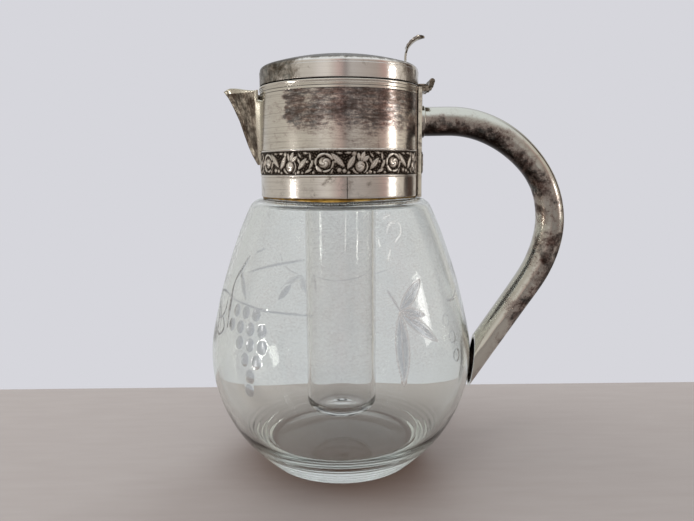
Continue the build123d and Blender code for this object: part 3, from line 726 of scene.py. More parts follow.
def buildPlaster():
    bed = plasterBed
    columns = bed["columns"]
    inside, outside = jug["neck"] + 0.01, collarHigh[1] - 0.95
    bottom, top = cementLow[2], cementHigh[2]
    loop = softLoop([(inside, top), (outside, top), (outside, bottom + 0.9),
                     (cementHigh[1] - 0.1, bottom + 0.85), (cementHigh[1] - 0.1, bottom + 0.35),
                     (cementHigh[1] - 0.3, bottom - 0.1), (outside - 0.5, bottom - 0.2),
                     (inside + 0.55, bottom + 1.1)], 0.25)
    angles = np.arange(columns) * 360 / columns
    points = turned(loop, angles).reshape(len(loop), columns, 3)
    crumb = np.interp(np.arange(columns), np.arange(0, columns + 1, 3),
                      np.r_[rng.uniform(0, bed["crumb"], columns // 3), 0.2])
    squeezed = np.exp(-(((angles - bed["squeezedAt"] + 180) % 360 - 180) / bed["squeezedWidth"]) ** 2)
    low = points[..., 2] < bottom + 0.6
    points[..., 2] = np.where(low, points[..., 2] + crumb[None, :] * (1 - squeezed), points[..., 2])
    radius = np.hypot(points[..., 0], points[..., 1])
    outward = (radius > outside - 0.8) & (points[..., 2] < bottom + 0.95)
    spread = bed["squeezedOut"] * squeezed[None, :] * (bottom + 1.2 - points[..., 2])
    wider = radius + np.where(outward, spread, 0)
    under = np.clip(jug["shoulderRadius"] ** 2 - (wider - shoulderCentre[0]) ** 2, 0, None)
    shoulder = shoulderCentre[1] + np.sqrt(under) + 0.04
    sagged = np.maximum(points[..., 2] - bed["sag"] * squeezed[None, :], shoulder)
    points[..., 2] = np.where(outward, sagged, points[..., 2])
    points[..., 0] *= wider / radius
    points[..., 1] *= wider / radius
    addPiece("neckPlaster", points.reshape(-1, 3), gridFaces(len(loop), columns, True, True), plaster,
             "jug", ["neck_cement"])


buildPlaster()


bandLow, bandHigh = boxMm("lower_band")
lowerLow, lowerHigh = boxMm("lower_bead")
upperLow, upperHigh = boxMm("upper_bead")
friezeLow, friezeHigh = boxMm("frieze_band")
rimLow, rimHigh = boxMm("collar_rim")
plateHigh = boxMm("handle_plate")[1]
collarRadius = collarHigh[1]
bands = {
    "gap": 21.0,        # degrees each side of the handle where the strips stop
    "plateGap": 14.6,   # the same for the rim, which meets the handle plate
    "seam": 274.5,      # where the plain strip's ends meet, just off the middle of the front
    "seamWidth": 0.45,
}
bandGap, plateGap = bands["gap"], bands["plateGap"]


def buildBands():
    r = collarRadius
    rim = softLoop([(r, rimLow[2]), (r + 0.18, rimLow[2]), (r + 0.2, rimLow[2] + 0.55),
                    (r + 0.06, rimLow[2] + 0.75), (r + 0.28, rimLow[2] + 0.95),
                    (rimHigh[1] - 0.02, rimLow[2] + 1.5), (rimHigh[1] - 0.02, rimHigh[2] - 0.25),
                    (rimHigh[1] - 0.25, rimHigh[2]), (r, rimHigh[2])], 0.12)
    addArc("turnedRim", rim, plateGap, 360 - plateGap, 1.0, silver["collar"], "jug",
           ["collar_rim"], sharp=50)
    band = softLoop([(r, bandLow[2]), (bandHigh[1] - 0.08, bandLow[2]), (bandHigh[1], bandLow[2] + 0.7),
                     (bandHigh[1] - 0.05, bandLow[2] + 4), (bandHigh[1] - 0.02, bandHigh[2] - 0.8),
                     (bandHigh[1] - 0.1, bandHigh[2]), (r, bandHigh[2])], 0.15)
    seam, seamEnd = bands["seam"], bands["seam"] + bands["seamWidth"]
    addArc("plainBand", band, bandGap, seam, 1.0, silver["band"], "jug", ["lower_band"],
           sharp=50)
    addArc("plainBandEnd", band, seamEnd, 360 - bandGap, 1.0, silver["band"], "jug", sharp=50)
    # painted shade: a black strip set behind the gap at the band's seam
    filler = softLoop([(r, bandLow[2] + 0.1), (r + 0.2, bandLow[2] + 0.1), (r + 0.2, bandHigh[2]),
                       (r, bandHigh[2])], 0.05)
    addArc("bandSeam", filler, seam - 0.1, seamEnd + 0.1, 0.3, silver["black"], "jug")
    for name, low, high, node in (("lowerBead", lowerLow, lowerHigh, "lower_bead"),
                                  ("upperBead", upperLow, upperHigh, "upper_bead")):
        middle, half = (low[2] + high[2]) / 2, (high[2] - low[2]) / 2
        wire = np.vstack([arcPoints((r + 0.12, middle), half - 0.05, -90, 180, 9),
                          [(r - 0.02, middle + half - 0.1), (r - 0.02, middle - half + 0.1)]])
        wire[:, 0] = np.minimum(wire[:, 0], high[1] - 0.05)
        addArc(name, wire, bandGap, 360 - bandGap, 0.8, silver["band"], "jug", [node])


buildBands()


frieze = {
    "unit": 41.0,        # mm from a rose to the next rose
    "bud": 19.7,         # mm from a rose to the bud on its right
    "cell": 0.21,
    "relief": 0.74,
    "firstRose": -9.9,   # degrees from the front
    # radius, first and last angle, half width and height of each petal round a rose
    "petals": ((4.75, 20, 88, 0.95, 0.9), (4.85, 84, 150, 0.95, 0.95), (5.0, 146, 196, 0.9, 0.85),
               (4.9, 198, 252, 1.15, 0.9), (4.75, 256, 312, 0.8, 0.85), (4.7, 318, 372, 0.8, 0.7)),
    # foot along and up, angle, length and half width of each small leaf at a bud, then between the flowers
    "sepals": ((-0.6, 1.0, 96, 4.6, 1.0), (0.3, 0.9, 66, 5.6, 1.35), (1.2, 0.6, 38, 5.0, 1.3),
               (-2.3, -5.0, 148, 3.3, 0.45), (-1.7, -5.9, 150, 3.0, 0.4)),
    "leaves": ((3.7, 5.2, -46, 10.6, 1.75), (6.7, 5.3, -6, 3.4, 0.55), (11.2, 5.1, 4, 3.8, 0.6),
               (12.5, -3.5, 60, 8.7, 1.75), (25.4, 5.3, -50, 3.4, 0.7), (25.4, -3.6, 50, 8.2, 1.65),
               (24.9, 3.0, -64, 4.6, 0.7), (29.6, -5.2, 24, 4.8, 0.9), (32.6, 5.6, -84, 4.4, 0.8),
               (32.2, -3.4, 62, 5.6, 0.95), (4.6, -3.2, -112, 3.2, 0.5), (28.6, 5.6, -12, 3.2, 0.6)),
    # along, up and radius of each berry
    "berries": ((8.1, -4.0, 1.35), (10.9, -4.4, 1.2), (16.4, 4.7, 1.4), (25.4, -5.0, 1.15), (28.0, -5.3, 0.8),
                (13.2, -5.4, 0.9), (23.6, -5.6, 0.8), (34.6, -5.3, 0.9), (31.0, 0.6, 0.9), (5.9, 0.4, 0.8),
                (33.9, 0.9, 0.7)),
}


def lobe(u, v, angle, length, half, power=0.9):
    # a pointed oval from the origin along angle: height 0..1 and how far along it
    c, s = math.cos(math.radians(angle)), math.sin(math.radians(angle))
    along, across = (u * c + v * s) / length, -u * s + v * c
    width = half * np.sin(np.pi * np.clip(along, 0, 1)) ** power + 1e-6
    away = np.abs(across) / width
    inside = (along > 0) & (along < 1) & (away < 1)
    return np.where(inside, 1 - away**2, 0), along, across


def leafRelief(u, v, angle, length, half, top=0.85):
    body, along, across = lobe(u, v, angle, length, half)
    vein = np.exp(-(across / 0.16) ** 2) * 0.30
    ribs = 0.10 * np.sin(2 * np.pi * (along * length - np.abs(across) * 0.9) / 1.15)
    return np.where(body > 0, top * body**0.5 - vein * body + ribs * body, 0)


def crescent(u, v, radius, start, stop, half, top, tall=1.0):
    # a petal: part of a wide ring, thickest in its middle
    angle = (np.degrees(np.arctan2(v / tall, u)) - start) % 360 / (stop - start)
    width = half * np.sin(np.pi * np.clip(angle, 0, 1)) ** 0.45 + 1e-6
    away = (np.hypot(u, v / tall) - radius) / width
    body = np.where((angle < 1) & (np.abs(away) < 1), 1 - away**2, 0)
    return np.where(body > 0, top * body**0.5 * (1 - 0.28 * np.clip(-away, 0, 1)), 0)


def roseRelief(u, v):
    away, angle = np.hypot(u / 1.12, (v - 0.1) / 0.95), np.arctan2(v - 0.1, u)
    fold = np.sin(3 * angle + 2.6 * away) * 0.5 + 0.5
    head = np.clip(1 - (away / 3.15) ** 2, 0, None)
    folds = 0.42 * (1 - fold) ** 3 * (away > 0.5) + 0.18 * np.exp(-(away / 0.45) ** 2)
    parts = [np.where(head > 0, 0.98 * head**0.35 - folds, 0)]
    for radius, start, stop, half, top in frieze["petals"]:
        parts.append(crescent(u, v, radius, start, stop, half, top, 0.97))
    return np.max(parts, axis=0)


def budRelief(u, v):
    away = np.hypot(u / 2.75, (v + 2.0) / 3.1)
    spiral = np.sin(2.2 * np.arctan2(v + 2.0, u) + 7.0 * away) * 0.5 + 0.5
    groove = 0.34 * (spiral < 0.22) * (away > 0.2)
    parts = [np.where(away < 1, np.clip(1 - away**2, 0, 1) ** 0.35 * (1 - groove), 0),
             crescent(u, v + 2.0, 4.0, -62, 48, 0.55, 0.8), crescent(u, v + 2.0, 4.0, 190, 252, 0.5, 0.75)]
    for footU, footV, angle, length, half in frieze["sepals"]:
        parts.append(leafRelief(u - footU, v - footV, angle, length, half, 0.92))
    return np.max(parts, axis=0)


def berry(u, v, radius):
    away = np.hypot(u, v) / radius
    return np.where(away < 1, 0.78 * np.sqrt(np.clip(1 - away**2, 0, 1)), 0)


def reliefHeight(u, v):
    # u along the strip, v up from its middle, both in mm; the unit is rose, leaves, bud, leaves
    unit = frieze["unit"]
    place = u % unit
    parts = []
    for shift in (-unit, 0, unit):
        s = place - shift
        parts += [roseRelief(s, v), budRelief(s - frieze["bud"], v)]
        parts += [leafRelief(s - du, v - dv, angle, length, half)
                  for du, dv, angle, length, half in frieze["leaves"]]
        parts += [berry(s - du, v - dv, radius) for du, dv, radius in frieze["berries"]]
    # small foliage behind the big forms
    weave = np.sin(2.0 * u + 1.3 * np.sin(1.4 * v)) * np.sin(1.9 * v + 1.1 * np.sin(1.2 * u + 0.7))
    parts.append(0.40 * np.clip(np.abs(weave) - 0.25, 0, 1) ** 0.5)
    height = np.max(parts, axis=0)
    edge = smoothStep(np.abs(v), 5.9, 6.35)
    return np.clip(height * (1 - edge) + 0.14 * edge, 0, 1)


def buildFrieze(name, inner, start, stop, low, high, finish, replaced):
    # start and stop in degrees from +X; the relief stands out from the ground
    depth = frieze["relief"]
    ground = inner + 0.08
    cols = int(math.radians(stop - start) * inner / frieze["cell"])
    rows = int((high - low) / frieze["cell"])
    angles = np.linspace(start, stop, cols)
    heights = np.linspace(low, high, rows)
    fromFront = (angles + 90 + 180) % 360 - 180
    u = (fromFront - frieze["firstRose"])[None, :] * math.pi / 180 * (inner + depth)
    v = (heights - (low + high) / 2)[:, None]
    u, v = np.broadcast_arrays(u, v)
    level = reliefHeight(u.copy(), v.copy())
    radius = ground + level * depth
    a = np.radians(angles)[None, :]
    top = np.stack([radius * np.cos(a), radius * np.sin(a), heights[:, None] + 0 * radius], -1).reshape(-1, 3)
    back = np.stack([(inner - 0.02) * np.cos(a) + 0 * radius, (inner - 0.02) * np.sin(a) + 0 * radius,
                     heights[:, None] + 0 * radius], -1)
    ends = np.concatenate([back[0], back[-1]])  # bottom and top edges of the back
    count = rows * cols
    faces = gridFaces(rows, cols).tolist()
    for k in range(cols - 1):
        faces.append([k, k + 1, count + k + 1, count + k])
        faces.append([count - cols + k, count - cols + k + 1, count + cols + k + 1, count + cols + k])
        faces.append([count + k, count + k + 1, count + cols + k + 1, count + cols + k])
    faces.append([r * cols for r in range(rows)] + [count + cols, count])
    faces.append([r * cols + cols - 1 for r in range(rows)] + [count + 2 * cols - 1, count + cols - 1])
    piece = addPiece(name, np.vstack([top, ends]), faces, finish, "jug", replaced)
    attribute = piece.data.attributes.new("raised", "FLOAT", "POINT")
    radii = [math.hypot(p.co.x, p.co.y) / mm for p in piece.data.vertices]
    attribute.data.foreach_set("value", [min(1.0, max(0.0, (r - ground) / depth)) for r in radii])
    return piece


stampedFrieze = buildFrieze("roseFrieze", collarRadius, bandGap, 360 - bandGap, friezeLow[2], friezeHigh[2],
                            wornFrieze, ["frieze_band"])
print("frieze made:", len(stampedFrieze.data.polygons), "faces")
plateFriezeLow, plateFriezeHigh = boxMm("plate_frieze")
buildFrieze("plateFrieze", plateHigh[0], -14, 14, plateFriezeLow[2], plateFriezeHigh[2], wornFrieze,
            ["plate_frieze"])


spoutHigh = boxMm("spout")[1]
beak = {
    "top": spoutHigh[2],
    "levels": ((184.6, -50.4, 2.6), (190.0, -53.3, 5.4), (195.6, -55.7, 8.2), (203.0, -58.2, 10.9),
               (211.0, -60.7, 13.0), (219.0, -64.2, 14.6), (229.9, -69.6, 15.6)),  # height, keel, half width
    "sheet": 0.9,
    "flange": 2.6,
    "nose": 1.6,
    "hollow": 0.7,      # how far the sides bow in
    "slotBottom": 221.8,
    "slotBack": -47.7,
}


def beakSection(height):
    heights, keels, halves = np.array(beak["levels"]).T
    keel, half = np.interp(height, heights, keels), np.interp(height, heights, halves)
    wall = collarRadius + 0.1
    rear = math.asin(min(0.9, half / wall))
    outer = rear + beak["flange"] / wall
    nose = min(beak["nose"], 0.4 * half)
    side = []
    for a in np.linspace(outer, rear, 6):
        side.append((-wall * math.cos(a), wall * math.sin(a)))
    start, end = np.array(side[-1]), np.array([keel + 1.5 * nose, nose])
    out = np.array([-(end - start)[1], (end - start)[0]])
    out /= np.linalg.norm(out) + 1e-9
    for t in np.linspace(0, 1, 16)[1:]:
        bow = -beak["hollow"] * math.sin(math.pi * t) * min(1.0, half / 12)
        side.append(tuple(start + (end - start) * t - out * bow * np.sign(out[1]) ))
    for t in np.linspace(0, 1, 6)[1:]:
        side.append((keel + 1.5 * nose * (1 - t) ** 2 , nose * (1 - t**1.5)))
    half = np.array(side)
    # near the top the rear edge stands clear of the collar
    clear = smoothStep(height, beak["slotBottom"] - 0.4, beak["slotBottom"] + 0.3)
    limit = beak["slotBack"] - 0.02 * np.arange(len(half))[::-1][:, None][:, 0]
    shift = np.clip(half[:, 0] - limit, 0, None) * clear
    wallSlope = (half[20, 1] - half[7, 1]) / (half[20, 0] - half[7, 0])
    half = np.stack([half[:, 0] - shift, half[:, 1] - np.where(shift > 0, shift * wallSlope, 0)], 1)
    return np.vstack([half, half[::-1][1:] * (1, -1)])


def buildSpout():
    heights = np.linspace(beak["levels"][0][0], beak["top"], 64)
    sections = np.array([beakSection(h) for h in heights])
    cols = sections.shape[1]
    tops = np.repeat(heights[:, None], cols, 1)
    droop = (1.5 * smoothStep(-sections[..., 0], 66.0, 69.8)
             + 2.2 * (1 - smoothStep(-sections[..., 0], 49.5, 66.0)))
    droop *= smoothStep(tops, beak["top"] - 12, beak["top"])
    points = np.concatenate([sections, (tops - droop)[..., None]], -1)
    piece = addPiece("beakSpout", points.reshape(-1, 3), gridFaces(len(heights), cols), silver["spout"],
                     "jug", ["spout"])
    shell = piece.modifiers.new("sheet", "SOLIDIFY")
    shell.thickness = beak["sheet"] * mm
    shell.offset = -1.0 if piece.data.polygons[0].normal.x < 0 else 1.0
    shell.use_even_offset = False
    edge = piece.modifiers.new("edges", "BEVEL")
    edge.width = 0.22 * mm
    edge.segments = 2
    edge.limit_method = "ANGLE"
    edge.angle_limit = math.radians(50)
    rim = points[-1][5:-5]
    rim = rim + np.array([0.35, 0, -0.42])
    addTube("beakRim", smoothCurve(rim[::3], 90), 0.42, silver["spout"], "jug", around=10)


buildSpout()
print("spout made")


tubeHigh = boxMm("handle_tube")[1]
handle = {
    "line": [(51.6, 210.1), (60.0, 210.15), (70.0, 210.1), (82.3, 208.2), (93.2, 204.2), (103.8, 198.0),
             (113.7, 189.5), (121.8, 179.6), (127.4, 168.6), (130.5, 156.0), (130.7, 143.5), (127.6, 129.5),
             (122.3, 117.2), (115.6, 106.4), (106.4, 92.8), (96.5, 78.2), (86.0, 62.7), (74.0, 45.0)],
    "half": 8.72,
    "wall": 1.2,
    "cutTop": (85.2, 76.6),
    "cutFoot": (82.1, 43.2),
    "around": 56,
}


def tubeSection(share):
    # half thickness in the plane of the bend and across it; bending flattens the tube's back
    flat = 0.75 * np.exp(-((share - 0.36) / 0.10) ** 2)
    low = 0.22 * smoothStep(share, 0.62, 0.75)
    side = 0.15 * np.exp(-((share - 0.55) / 0.08) ** 2)
    return handle["half"] - flat - low + side, handle["half"] + 0.5 * flat - low


def buildHandle():
    h = handle
    line = smoothCurve(h["line"], 220)
    along = np.gradient(line, axis=0)
    along /= np.linalg.norm(along, axis=1)[:, None]
    out = np.stack([-along[:, 1], along[:, 0]], 1) * -1
    share = np.linspace(0, 1, len(line))
    thick, wide = tubeSection(share)
    a = np.linspace(0, 2 * np.pi, h["around"], endpoint=False)
    cutA, cutB = np.array(h["cutFoot"]), np.array(h["cutTop"])
    cutDir = (cutB - cutA) / np.linalg.norm(cutB - cutA)
    cutNormal = np.array([-cutDir[1], cutDir[0]])
    walls = []
    for shrink in (0, h["wall"], h["wall"] + 0.02, h["wall"] + 0.3):
        x = line[:, 0][:, None] + out[:, 0][:, None] * np.cos(a) * (thick - shrink)[:, None]
        z = line[:, 1][:, None] + out[:, 1][:, None] * np.cos(a) * (thick - shrink)[:, None]
        y = np.sin(a) * (wide - shrink)[:, None]
        # beyond the oblique cut, slide each point back along the tube to the cut
        beyond = (x - cutA[0]) * cutNormal[0] + (z - cutA[1]) * cutNormal[1]
        slope = along[:, 0] * cutNormal[0] + along[:, 1] * cutNormal[1]
        late = share[:, None] > 0.7
        back = np.where(late & (beyond > 0), beyond / slope[:, None], 0)
        # apply the slide, which only the last stretch of the tube takes
        x = x - back * along[:, 0][:, None]
        z = z - back * along[:, 1][:, None]
        walls.append(np.stack([x, y, z], -1))
    rows, cols = len(line), h["around"]
    faces = gridFaces(rows, cols, wrapCols=True).tolist()
    count = rows * cols
    faces += (gridFaces(rows, cols, wrapCols=True) + count).tolist()
    for row in (0, rows - 1):
        for k in range(cols):
            p, q = row * cols + k, row * cols + (k + 1) % cols
            faces.append([p, q, q + count, p + count])
    lining = np.vstack([w.reshape(-1, 3) for w in walls[2:]])
    points = np.vstack([w.reshape(-1, 3) for w in walls[:2]])
    points[:, 0] = np.minimum(points[:, 0], tubeHigh[0] - 0.02)
    dent = 0.14 * np.sin(points[:, 2] * 0.21 + 1.0) * np.sin(points[:, 0] * 0.17) * np.cos(points[:, 1] * 0.3)
    points[:, 1] += np.where(np.abs(points[:, 1]) > 2, -np.sign(points[:, 1]) * np.abs(dent), 0)
    addPiece("handleTube", points, faces, silver["handle"], "jug", ["handle_tube"], sharp=60)
    # painted shade: the tube's inside is lined with the black plate
    addPiece("handleLining", lining, faces, silver["black"], "jug", sharp=60)


buildHandle()


def soften(node, finish, width=0.25, segments=2):
    # a carried-over CAD node gets its finish and softened edges
    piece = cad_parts[node]
    piece.data.materials.clear()
    piece.data.materials.append(finish)
    edge = piece.modifiers.new("edges", "BEVEL")
    edge.width = width * mm
    edge.segments = segments
    edge.limit_method = "ANGLE"
    edge.angle_limit = math.radians(35)


def buildHandleRoot():
    ferruleLow, ferruleHigh = boxMm("handle_ferrule")
    middle = (ferruleLow[2] + ferruleHigh[2]) / 2
    radius = (ferruleHigh[2] - ferruleLow[2]) / 2
    loop = softLoop([(radius - 1.6, plateHigh[0] - 1.4), (radius, plateHigh[0] - 1.4),
                     (radius, ferruleHigh[0] - 0.5), (radius - 0.5, ferruleHigh[0] - 0.02),
                     (radius - 1.6, ferruleHigh[0] - 0.02)], 0.3)
    a = np.linspace(0, 2 * np.pi, 64, endpoint=False)
    points = np.stack([loop[:, 1][:, None] + 0 * a, loop[:, 0][:, None] * np.cos(a),
                       middle + loop[:, 0][:, None] * np.sin(a)], -1).reshape(-1, 3)
    addPiece("rootFerrule", points, gridFaces(len(loop), 64, True, True), silver["handle"], "jug",
             ["handle_ferrule"], sharp=50)


buildHandleRoot()
soften("handle_plate", silver["plate"], 1.0, 5)
soften("collar_shell", silver["collar"], 0.1, 1)
soften("seat_ring", silver["inner"])
soften("tube_carrier", silver["inner"])
# painted shade: the bezel seen in the gap under the lid is black
soften("lid_bezel", silver["black"])
soften("hinge_bracket", silver["hinge"], 0.3, 3)
soften("hinge_leaf", silver["hinge"], 0.25, 3)
soften("hinge_pin", silver["hinge"], 0.3, 3)
hingeScroll = {
    "line": [(49.6, 0, 228.6), (51.6, 0, 228.4), (53.4, 0, 228.9), (54.9, 0, 229.9)],
    "out": {"Front": -4.6, "Back": 4.6},
    "thin": 1.25,
    "swell": 0.45,
}
scrollLine = smoothCurve(hingeScroll["line"], 30)
scrollRadius = hingeScroll["thin"] + hingeScroll["swell"] * np.sin(np.linspace(0, 3 * np.pi, 30)) ** 2
for side, out in hingeScroll["out"].items():
    addTube("hingeScroll" + side, scrollLine + np.array([0, out, 0]), scrollRadius, silver["hinge"],
            "jug", around=14)
# painted shade: black strips in the gaps beside the handle plate
seam = softLoop([(collarRadius - 0.05, bandLow[2]), (collarRadius + 0.3, bandLow[2]),
                 (collarRadius + 0.3, plateHigh[2] - 0.4), (collarRadius - 0.05, plateHigh[2] - 0.4)], 0.1)
for name, start in (("plateSeamFront", -15.6), ("plateSeamBack", 14.1)):
    addArc(name, seam, start, start + 1.5, 0.5, silver["black"], "jug")
print("handle and carried-over parts finished")


skirtLow, skirtHigh = boxMm("lid_skirt")
domeHigh = boxMm("lid_dome")[1]
lid = {
    "skirt": skirtHigh[1],
    "wall": 1.4,
    "edgeRadius": 45.2,
    "edgeHeight": 241.4,
    "dome": domeHigh[2],
}


def buildLid():
    r, low, high = lid["skirt"], skirtLow[2], skirtHigh[2]
    skirt = softLoop([(r - lid["wall"], low), (r - 0.12, low), (r, low + 0.3), (r - 0.05, low + 4),
                      (r, high - 0.25), (r - 0.2, high), (r - lid["wall"], high)], 0.12)
    addTurned("lidSkirt", skirt, 256, silver["lid"], "lid", ["lid_skirt"], sharp=50)
    rise = lid["dome"] - lid["edgeHeight"]
    radius = (lid["edgeRadius"] ** 2 + rise**2) / (2 * rise)
    spread = math.degrees(math.asin(lid["edgeRadius"] / radius))
    top = arcPoints((0, lid["dome"] - radius), radius, 90, -spread, 40)
    shoulder = smoothCurve([tuple(top[-2]), tuple(top[-1]), (46.35, 240.75), (r - 0.42, 239.7),
                            (r - 0.28, high + 0.05)], 16)[3:]
    under = arcPoints((0, lid["dome"] - radius), radius - 1.0, 90 - spread * 0.975, spread * 0.975, 24)
    loop = np.vstack([top[:-1], shoulder, [(r - 1.3, high + 0.05), (r - 1.5, high + 1.2)], under])
    columns = 256
    angles = np.arange(columns) * 360 / columns
    addPiece("lidDome", turned(loop, angles), gridFaces(len(loop), columns, wrapCols=True), silver["lid"],
             "lid", ["lid_dome"], sharp=50)


buildLid()


thumbLift = {
    "spine": [(39.9, 242.6), (39.95, 246.5), (40.3, 250.4), (41.7, 253.9), (44.0, 256.4), (47.2, 258.5),
              (51.3, 259.75)],
    "foot": 3.6,        # half widths
    "stalk": 1.5,
    "leaf": 3.5,
    "teeth": 0.25,
    "thick": 0.70,
    "cup": 1.25,
    "vein": 0.22,
    "ribs": 0.12,
}


def buildThumbLift():
    lift = thumbLift
    spine = smoothCurve(lift["spine"], 60)
    along = np.gradient(spine, axis=0)
    along /= np.linalg.norm(along, axis=1)[:, None]
    up = np.stack([-along[:, 1], along[:, 0]], 1)
    t = np.linspace(0, 1, len(spine))
    belly = np.sin(np.pi * np.clip((t - 0.34) / 0.66, 0, 1) ** 0.8) ** 0.7
    half = lift["foot"] * (1 - smoothStep(t, 0.0, 0.16)) + lift["stalk"] + lift["leaf"] * belly
    half *= np.where(t > 0.9, np.sqrt(np.clip((1.005 - t) / 0.105, 0, 1)), 1)
    half += lift["teeth"] * np.sin(t * 42) * (t > 0.42) * (t < 0.95)
    across = np.linspace(-1, 1, 25)
    leaf = smoothStep(t, 0.38, 0.5)[:, None]
    thick = lift["thick"] + 0.10 * t[:, None]
    vein = lift["vein"] * np.exp(-(across / 0.10) ** 2)[None, :] * leaf
    wave = np.sin(2 * np.pi * (t[:, None] * 9 - np.abs(across)[None, :] * 1.2))
    ribs = lift["ribs"] * wave * leaf * (np.abs(across) > 0.12)
    cup = lift["cup"] * (across**2)[None, :] * leaf
    sides = []
    for sign in (1, -1):
        raised = (sign * (thick * np.sqrt(1 - 0.85 * across**2)[None, :]) + cup
                  + (vein + ribs if sign > 0 else 0))
        x = spine[:, 0][:, None] + up[:, 0][:, None] * raised
        z = spine[:, 1][:, None] + up[:, 1][:, None] * raised
        y = half[:, None] * across[None, :]
        sides.append(np.stack([x, y + 0 * x, z], -1))
    rows, cols = len(spine), len(across)
    count = rows * cols
    faces = gridFaces(rows, cols).tolist() + (gridFaces(rows, cols) + count).tolist()
    for r in range(rows - 1):
        for c in (0, cols - 1):
            p, q = r * cols + c, (r + 1) * cols + c
            faces.append([p, q, q + count, p + count])
    for c in range(cols - 1):
        for r in (0, rows - 1):
            p, q = r * cols + c, r * cols + c + 1
            faces.append([p, q, q + count, p + count])
    points = np.vstack([s.reshape(-1, 3) for s in sides])
    points[:, 2] = np.minimum(points[:, 2], boxMm("thumb_lift")[1][2])
    addPiece("thumbLeaf", points, faces, silver["thumb"], "lid", ["thumb_lift"], sharp=60)


buildThumbLift()
print("lid made")


iceLow, iceHigh = boxMm("ice_tube")


iceTube = {
    "outer": 22.0,
    "wall": 2.0,
    "corner": 8.0,
    "floor": 4.0,
    "lip": 2.6,
    "columns": 160,
}


def buildIceTube():
    outer, bottom, corner = iceTube["outer"], iceLow[2], iceTube["corner"]
    inner, floor = outer - iceTube["wall"], bottom + iceTube["floor"]
    lipLow, lipHigh, lipRadius = iceHigh[2] - iceTube["lip"], iceHigh[2], iceHigh[1]
    loop = np.vstack([
        smoothCurve([(0.0, bottom + 1.7), (3.0, bottom + 1.5), (7.0, bottom + 0.7), (11, bottom + 0.12),
                     (outer - corner, bottom)], 12),
        arcPoints((outer - corner, bottom + corner), corner, -90, 90, 16)[1:],
        np.stack([np.full(20, outer), np.linspace(bottom + corner + 8, lipLow - 1.0, 20)], 1),
        arcPoints((outer + 1.0, lipLow - 1.0), 1.0, 180, -90, 5)[1:],
        [(lipRadius - 1.3, lipLow)],
        arcPoints((lipRadius - 1.3, (lipLow + lipHigh) / 2), 1.3, -90, 180, 9)[1:],
        [(inner + 1.5, lipHigh)],
        arcPoints((inner + 1.5, lipHigh - 1.5), 1.5, 90, 90, 5)[1:],
        np.stack([np.full(20, inner), np.linspace(lipHigh - 6, floor + 6.5, 20)], 1),
        arcPoints((inner - 6.0, floor + 6.0), 6.0, 0, -90, 12),
        smoothCurve([(inner - 8.0, floor + 0.1), (8.0, floor + 0.6), (4.0, floor + 1.7), (1.6, floor + 2.6),
                     (0.0, floor + 2.9)], 12)[1:],
    ])
    columns = iceTube["columns"]
    angles = np.arange(columns) * 360 / columns
    addPiece("iceTube", turned(loop, angles), gridFaces(len(loop), columns, wrapCols=True), drawnGlass,
             "ice_insert", ["ice_tube"])


buildIceTube()
print("ice tube made")


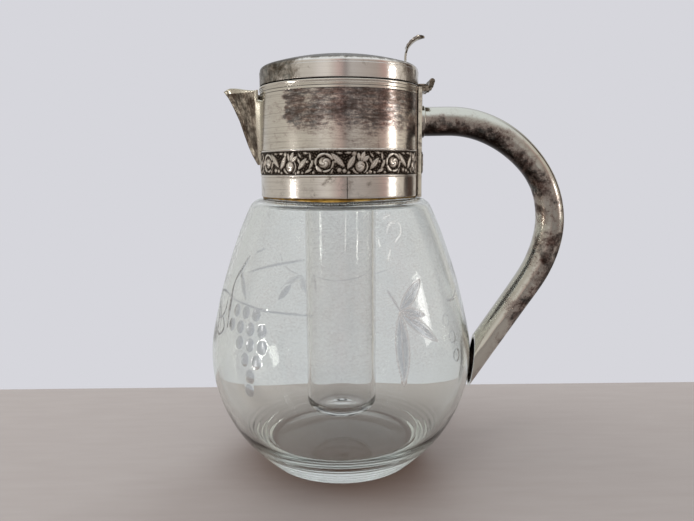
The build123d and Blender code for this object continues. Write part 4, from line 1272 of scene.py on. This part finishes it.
def studio():
    # painted board: pale, even and matt, with a faint long grain
    material, tree, place, xyz = newMaterial("pale matt table top")
    drawn = addNode(tree, "Mapping", {"Vector": place, "Scale": (1, 6, 1)})
    grain = addNode(tree, "TexNoise", {"Vector": drawn, "Scale": 1 / (40 * mm), "Detail": 3.0,
                                       "Roughness": 0.55})
    shade = addNode(tree, "Mix", {"data_type": "RGBA", 0: grain, 6: colour("#867f7d"),
                                  7: colour("#8f8987")}, 2)
    surface = addNode(tree, "BsdfPrincipled", {"Roughness": 0.62, "IOR": 1.45, "Base Color": shade})
    addNode(tree, "OutputMaterial", {"Surface": surface})
    wide, near, far, thick = 2.5, -2.0, 0.118, 0.04
    points = [(-wide, near, 0), (wide, near, 0), (wide, far, 0), (-wide, far, 0), (-wide, far, -thick),
              (wide, far, -thick)]
    mesh = bpy.data.meshes.new("tableTop")
    mesh.from_pydata(points, [], [(0, 1, 2, 3), (3, 2, 5, 4)])
    table = bpy.data.objects.new("tableTop", mesh)
    mesh.materials.append(material)
    bpy.context.scene.collection.objects.link(table)

    world = bpy.data.worlds.new("soft studio")
    bpy.context.scene.world = world
    world.use_nodes = True
    tree = world.node_tree
    tree.nodes.clear()
    where = addNode(tree, "TexCoord", {}, "Generated")
    side = addNode(tree, "SeparateXYZ", {0: where}).node.outputs
    turn = addNode(tree, "Math", {"operation": "ARCTAN2", 0: side[0], 1: side[1]})
    # 0.5 is straight behind the jug, 0.75 on its handle side, and 0 or 1 is the front
    share = addNode(tree, "MapRange", {"Value": turn, "From Min": -math.pi, "From Max": math.pi})
    walls = addNode(tree, "ValToRGB", {"Fac": share, "stops": (
        (0.00, "#c9b3ae"), (0.025, "#d3cbc5"), (0.045, "#e6e2dc"), (0.07, "#e2deda"), (0.10, "#cfcbc4"),
        (0.14, "#c9c5bd"), (0.34, "#c6c3bd"), (0.40, "#cacaca"), (0.50, "#cfd1d6"), (0.59, "#c6c7ca"),
        (0.625, "#c9c3b8"), (0.64, "#4b3d36"), (0.69, "#4a3b34"), (0.705, "#d6cfc4"), (0.75, "#dcd5ca"),
        (0.79, "#d8cfc6"), (0.81, "#bd9f98"), (0.85, "#b0a69f"), (0.955, "#c0bcb9"), (0.975, "#8f8987"),
        (1.00, "#c9b3ae"),)})
    ceiling = addNode(tree, "MapRange", {"interpolation_type": "SMOOTHSTEP", "Value": side[2],
                                         "From Min": 0.45, "From Max": 0.85})
    room = addNode(tree, "Mix", {"data_type": "RGBA", 0: ceiling, 6: walls, 7: colour("#dfe5e8")}, 2)
    glow = addNode(tree, "Math", {"operation": "MULTIPLY_ADD", 0: ceiling, 1: 0.25, 2: 1.0})
    plain = addNode(tree, "Background", {"Color": colour("#d6d6dc"), "Strength": 1.0})
    lit = addNode(tree, "Background", {"Color": room, "Strength": glow})
    seen = addNode(tree, "LightPath", {}, "Is Camera Ray")
    both = addNode(tree, "MixShader", {0: seen, 1: lit, 2: plain})
    addNode(tree, "OutputWorld", {"Surface": both})

    # where each light hangs, what it points at, its size, its watts, and whether silver and glass mirror it
    lights = {
        "softTop": {"at": (-0.25, -0.15, 1.1), "aim": 0.1, "size": (0.9, 0.7), "power": 6, "mirrored": False},
        "softLeft": {"at": (-1.1, 0.1, 0.55), "aim": 0.12, "size": (0.5, 0.5), "power": 5, "mirrored": False},
        "softBack": {"at": (0.35, 1.0, 0.55), "aim": 0.12, "size": (0.6, 0.5), "power": 13,
                     "mirrored": False},
        "lowStrip": {"at": (-0.72, -0.30, 0.07), "aim": 0.07, "size": (0.05, 0.13), "power": 0.6,
                     "mirrored": True},
        "tallWindow": {"at": (1.18, -0.24, 0.285), "aim": 0.285, "size": (0.20, 0.33), "power": 1.05,
                       "mirrored": True},
    }
    for name, light in lights.items():
        lamp = bpy.data.lights.new(name, "AREA")
        lamp.shape = "RECTANGLE"
        lamp.size, lamp.size_y = light["size"]
        lamp.energy = light["power"]
        lamp.color = (1.0, 0.98, 0.95)
        holder = bpy.data.objects.new(name, lamp)
        holder.location = light["at"]
        toward = Vector((0, 0, light["aim"])) - Vector(light["at"])
        holder.rotation_euler = toward.to_track_quat("-Z", "Y").to_euler()
        holder.visible_glossy = holder.visible_transmission = light["mirrored"]
        bpy.context.scene.collection.objects.link(holder)


def camera():
    view = {"place": (0, -0.38616, 0.1822), "down": 8.451, "left": -0.596, "roll": -0.415, "lens": 32.16}
    lens = bpy.data.cameras.new("camera")
    lens.lens = view["lens"]
    lens.sensor_width = 36
    lens.clip_start = 0.01
    holder = bpy.data.objects.new("camera", lens)
    pan = Matrix.Rotation(math.radians(view["left"]), 4, "Z")
    tilt = Matrix.Rotation(math.radians(90 - view["down"]), 4, "X")
    roll = Matrix.Rotation(math.radians(view["roll"]), 4, "Z")
    holder.matrix_world = Matrix.Translation(view["place"]) @ pan @ tilt @ roll
    bpy.context.scene.collection.objects.link(holder)
    bpy.context.scene.camera = holder


studio()
camera()
scene = bpy.context.scene
scene.view_settings.view_transform = "Standard"
# enough bounces for light to cross two walls of glass and the tube's two walls
for setting, value in {"use_denoising": True, "max_bounces": 20, "transmission_bounces": 18,
                       "glossy_bounces": 6, "transparent_max_bounces": 24,
                       "caustics_refractive": False}.items():
    setattr(scene.cycles, setting, value)
print("studio made")
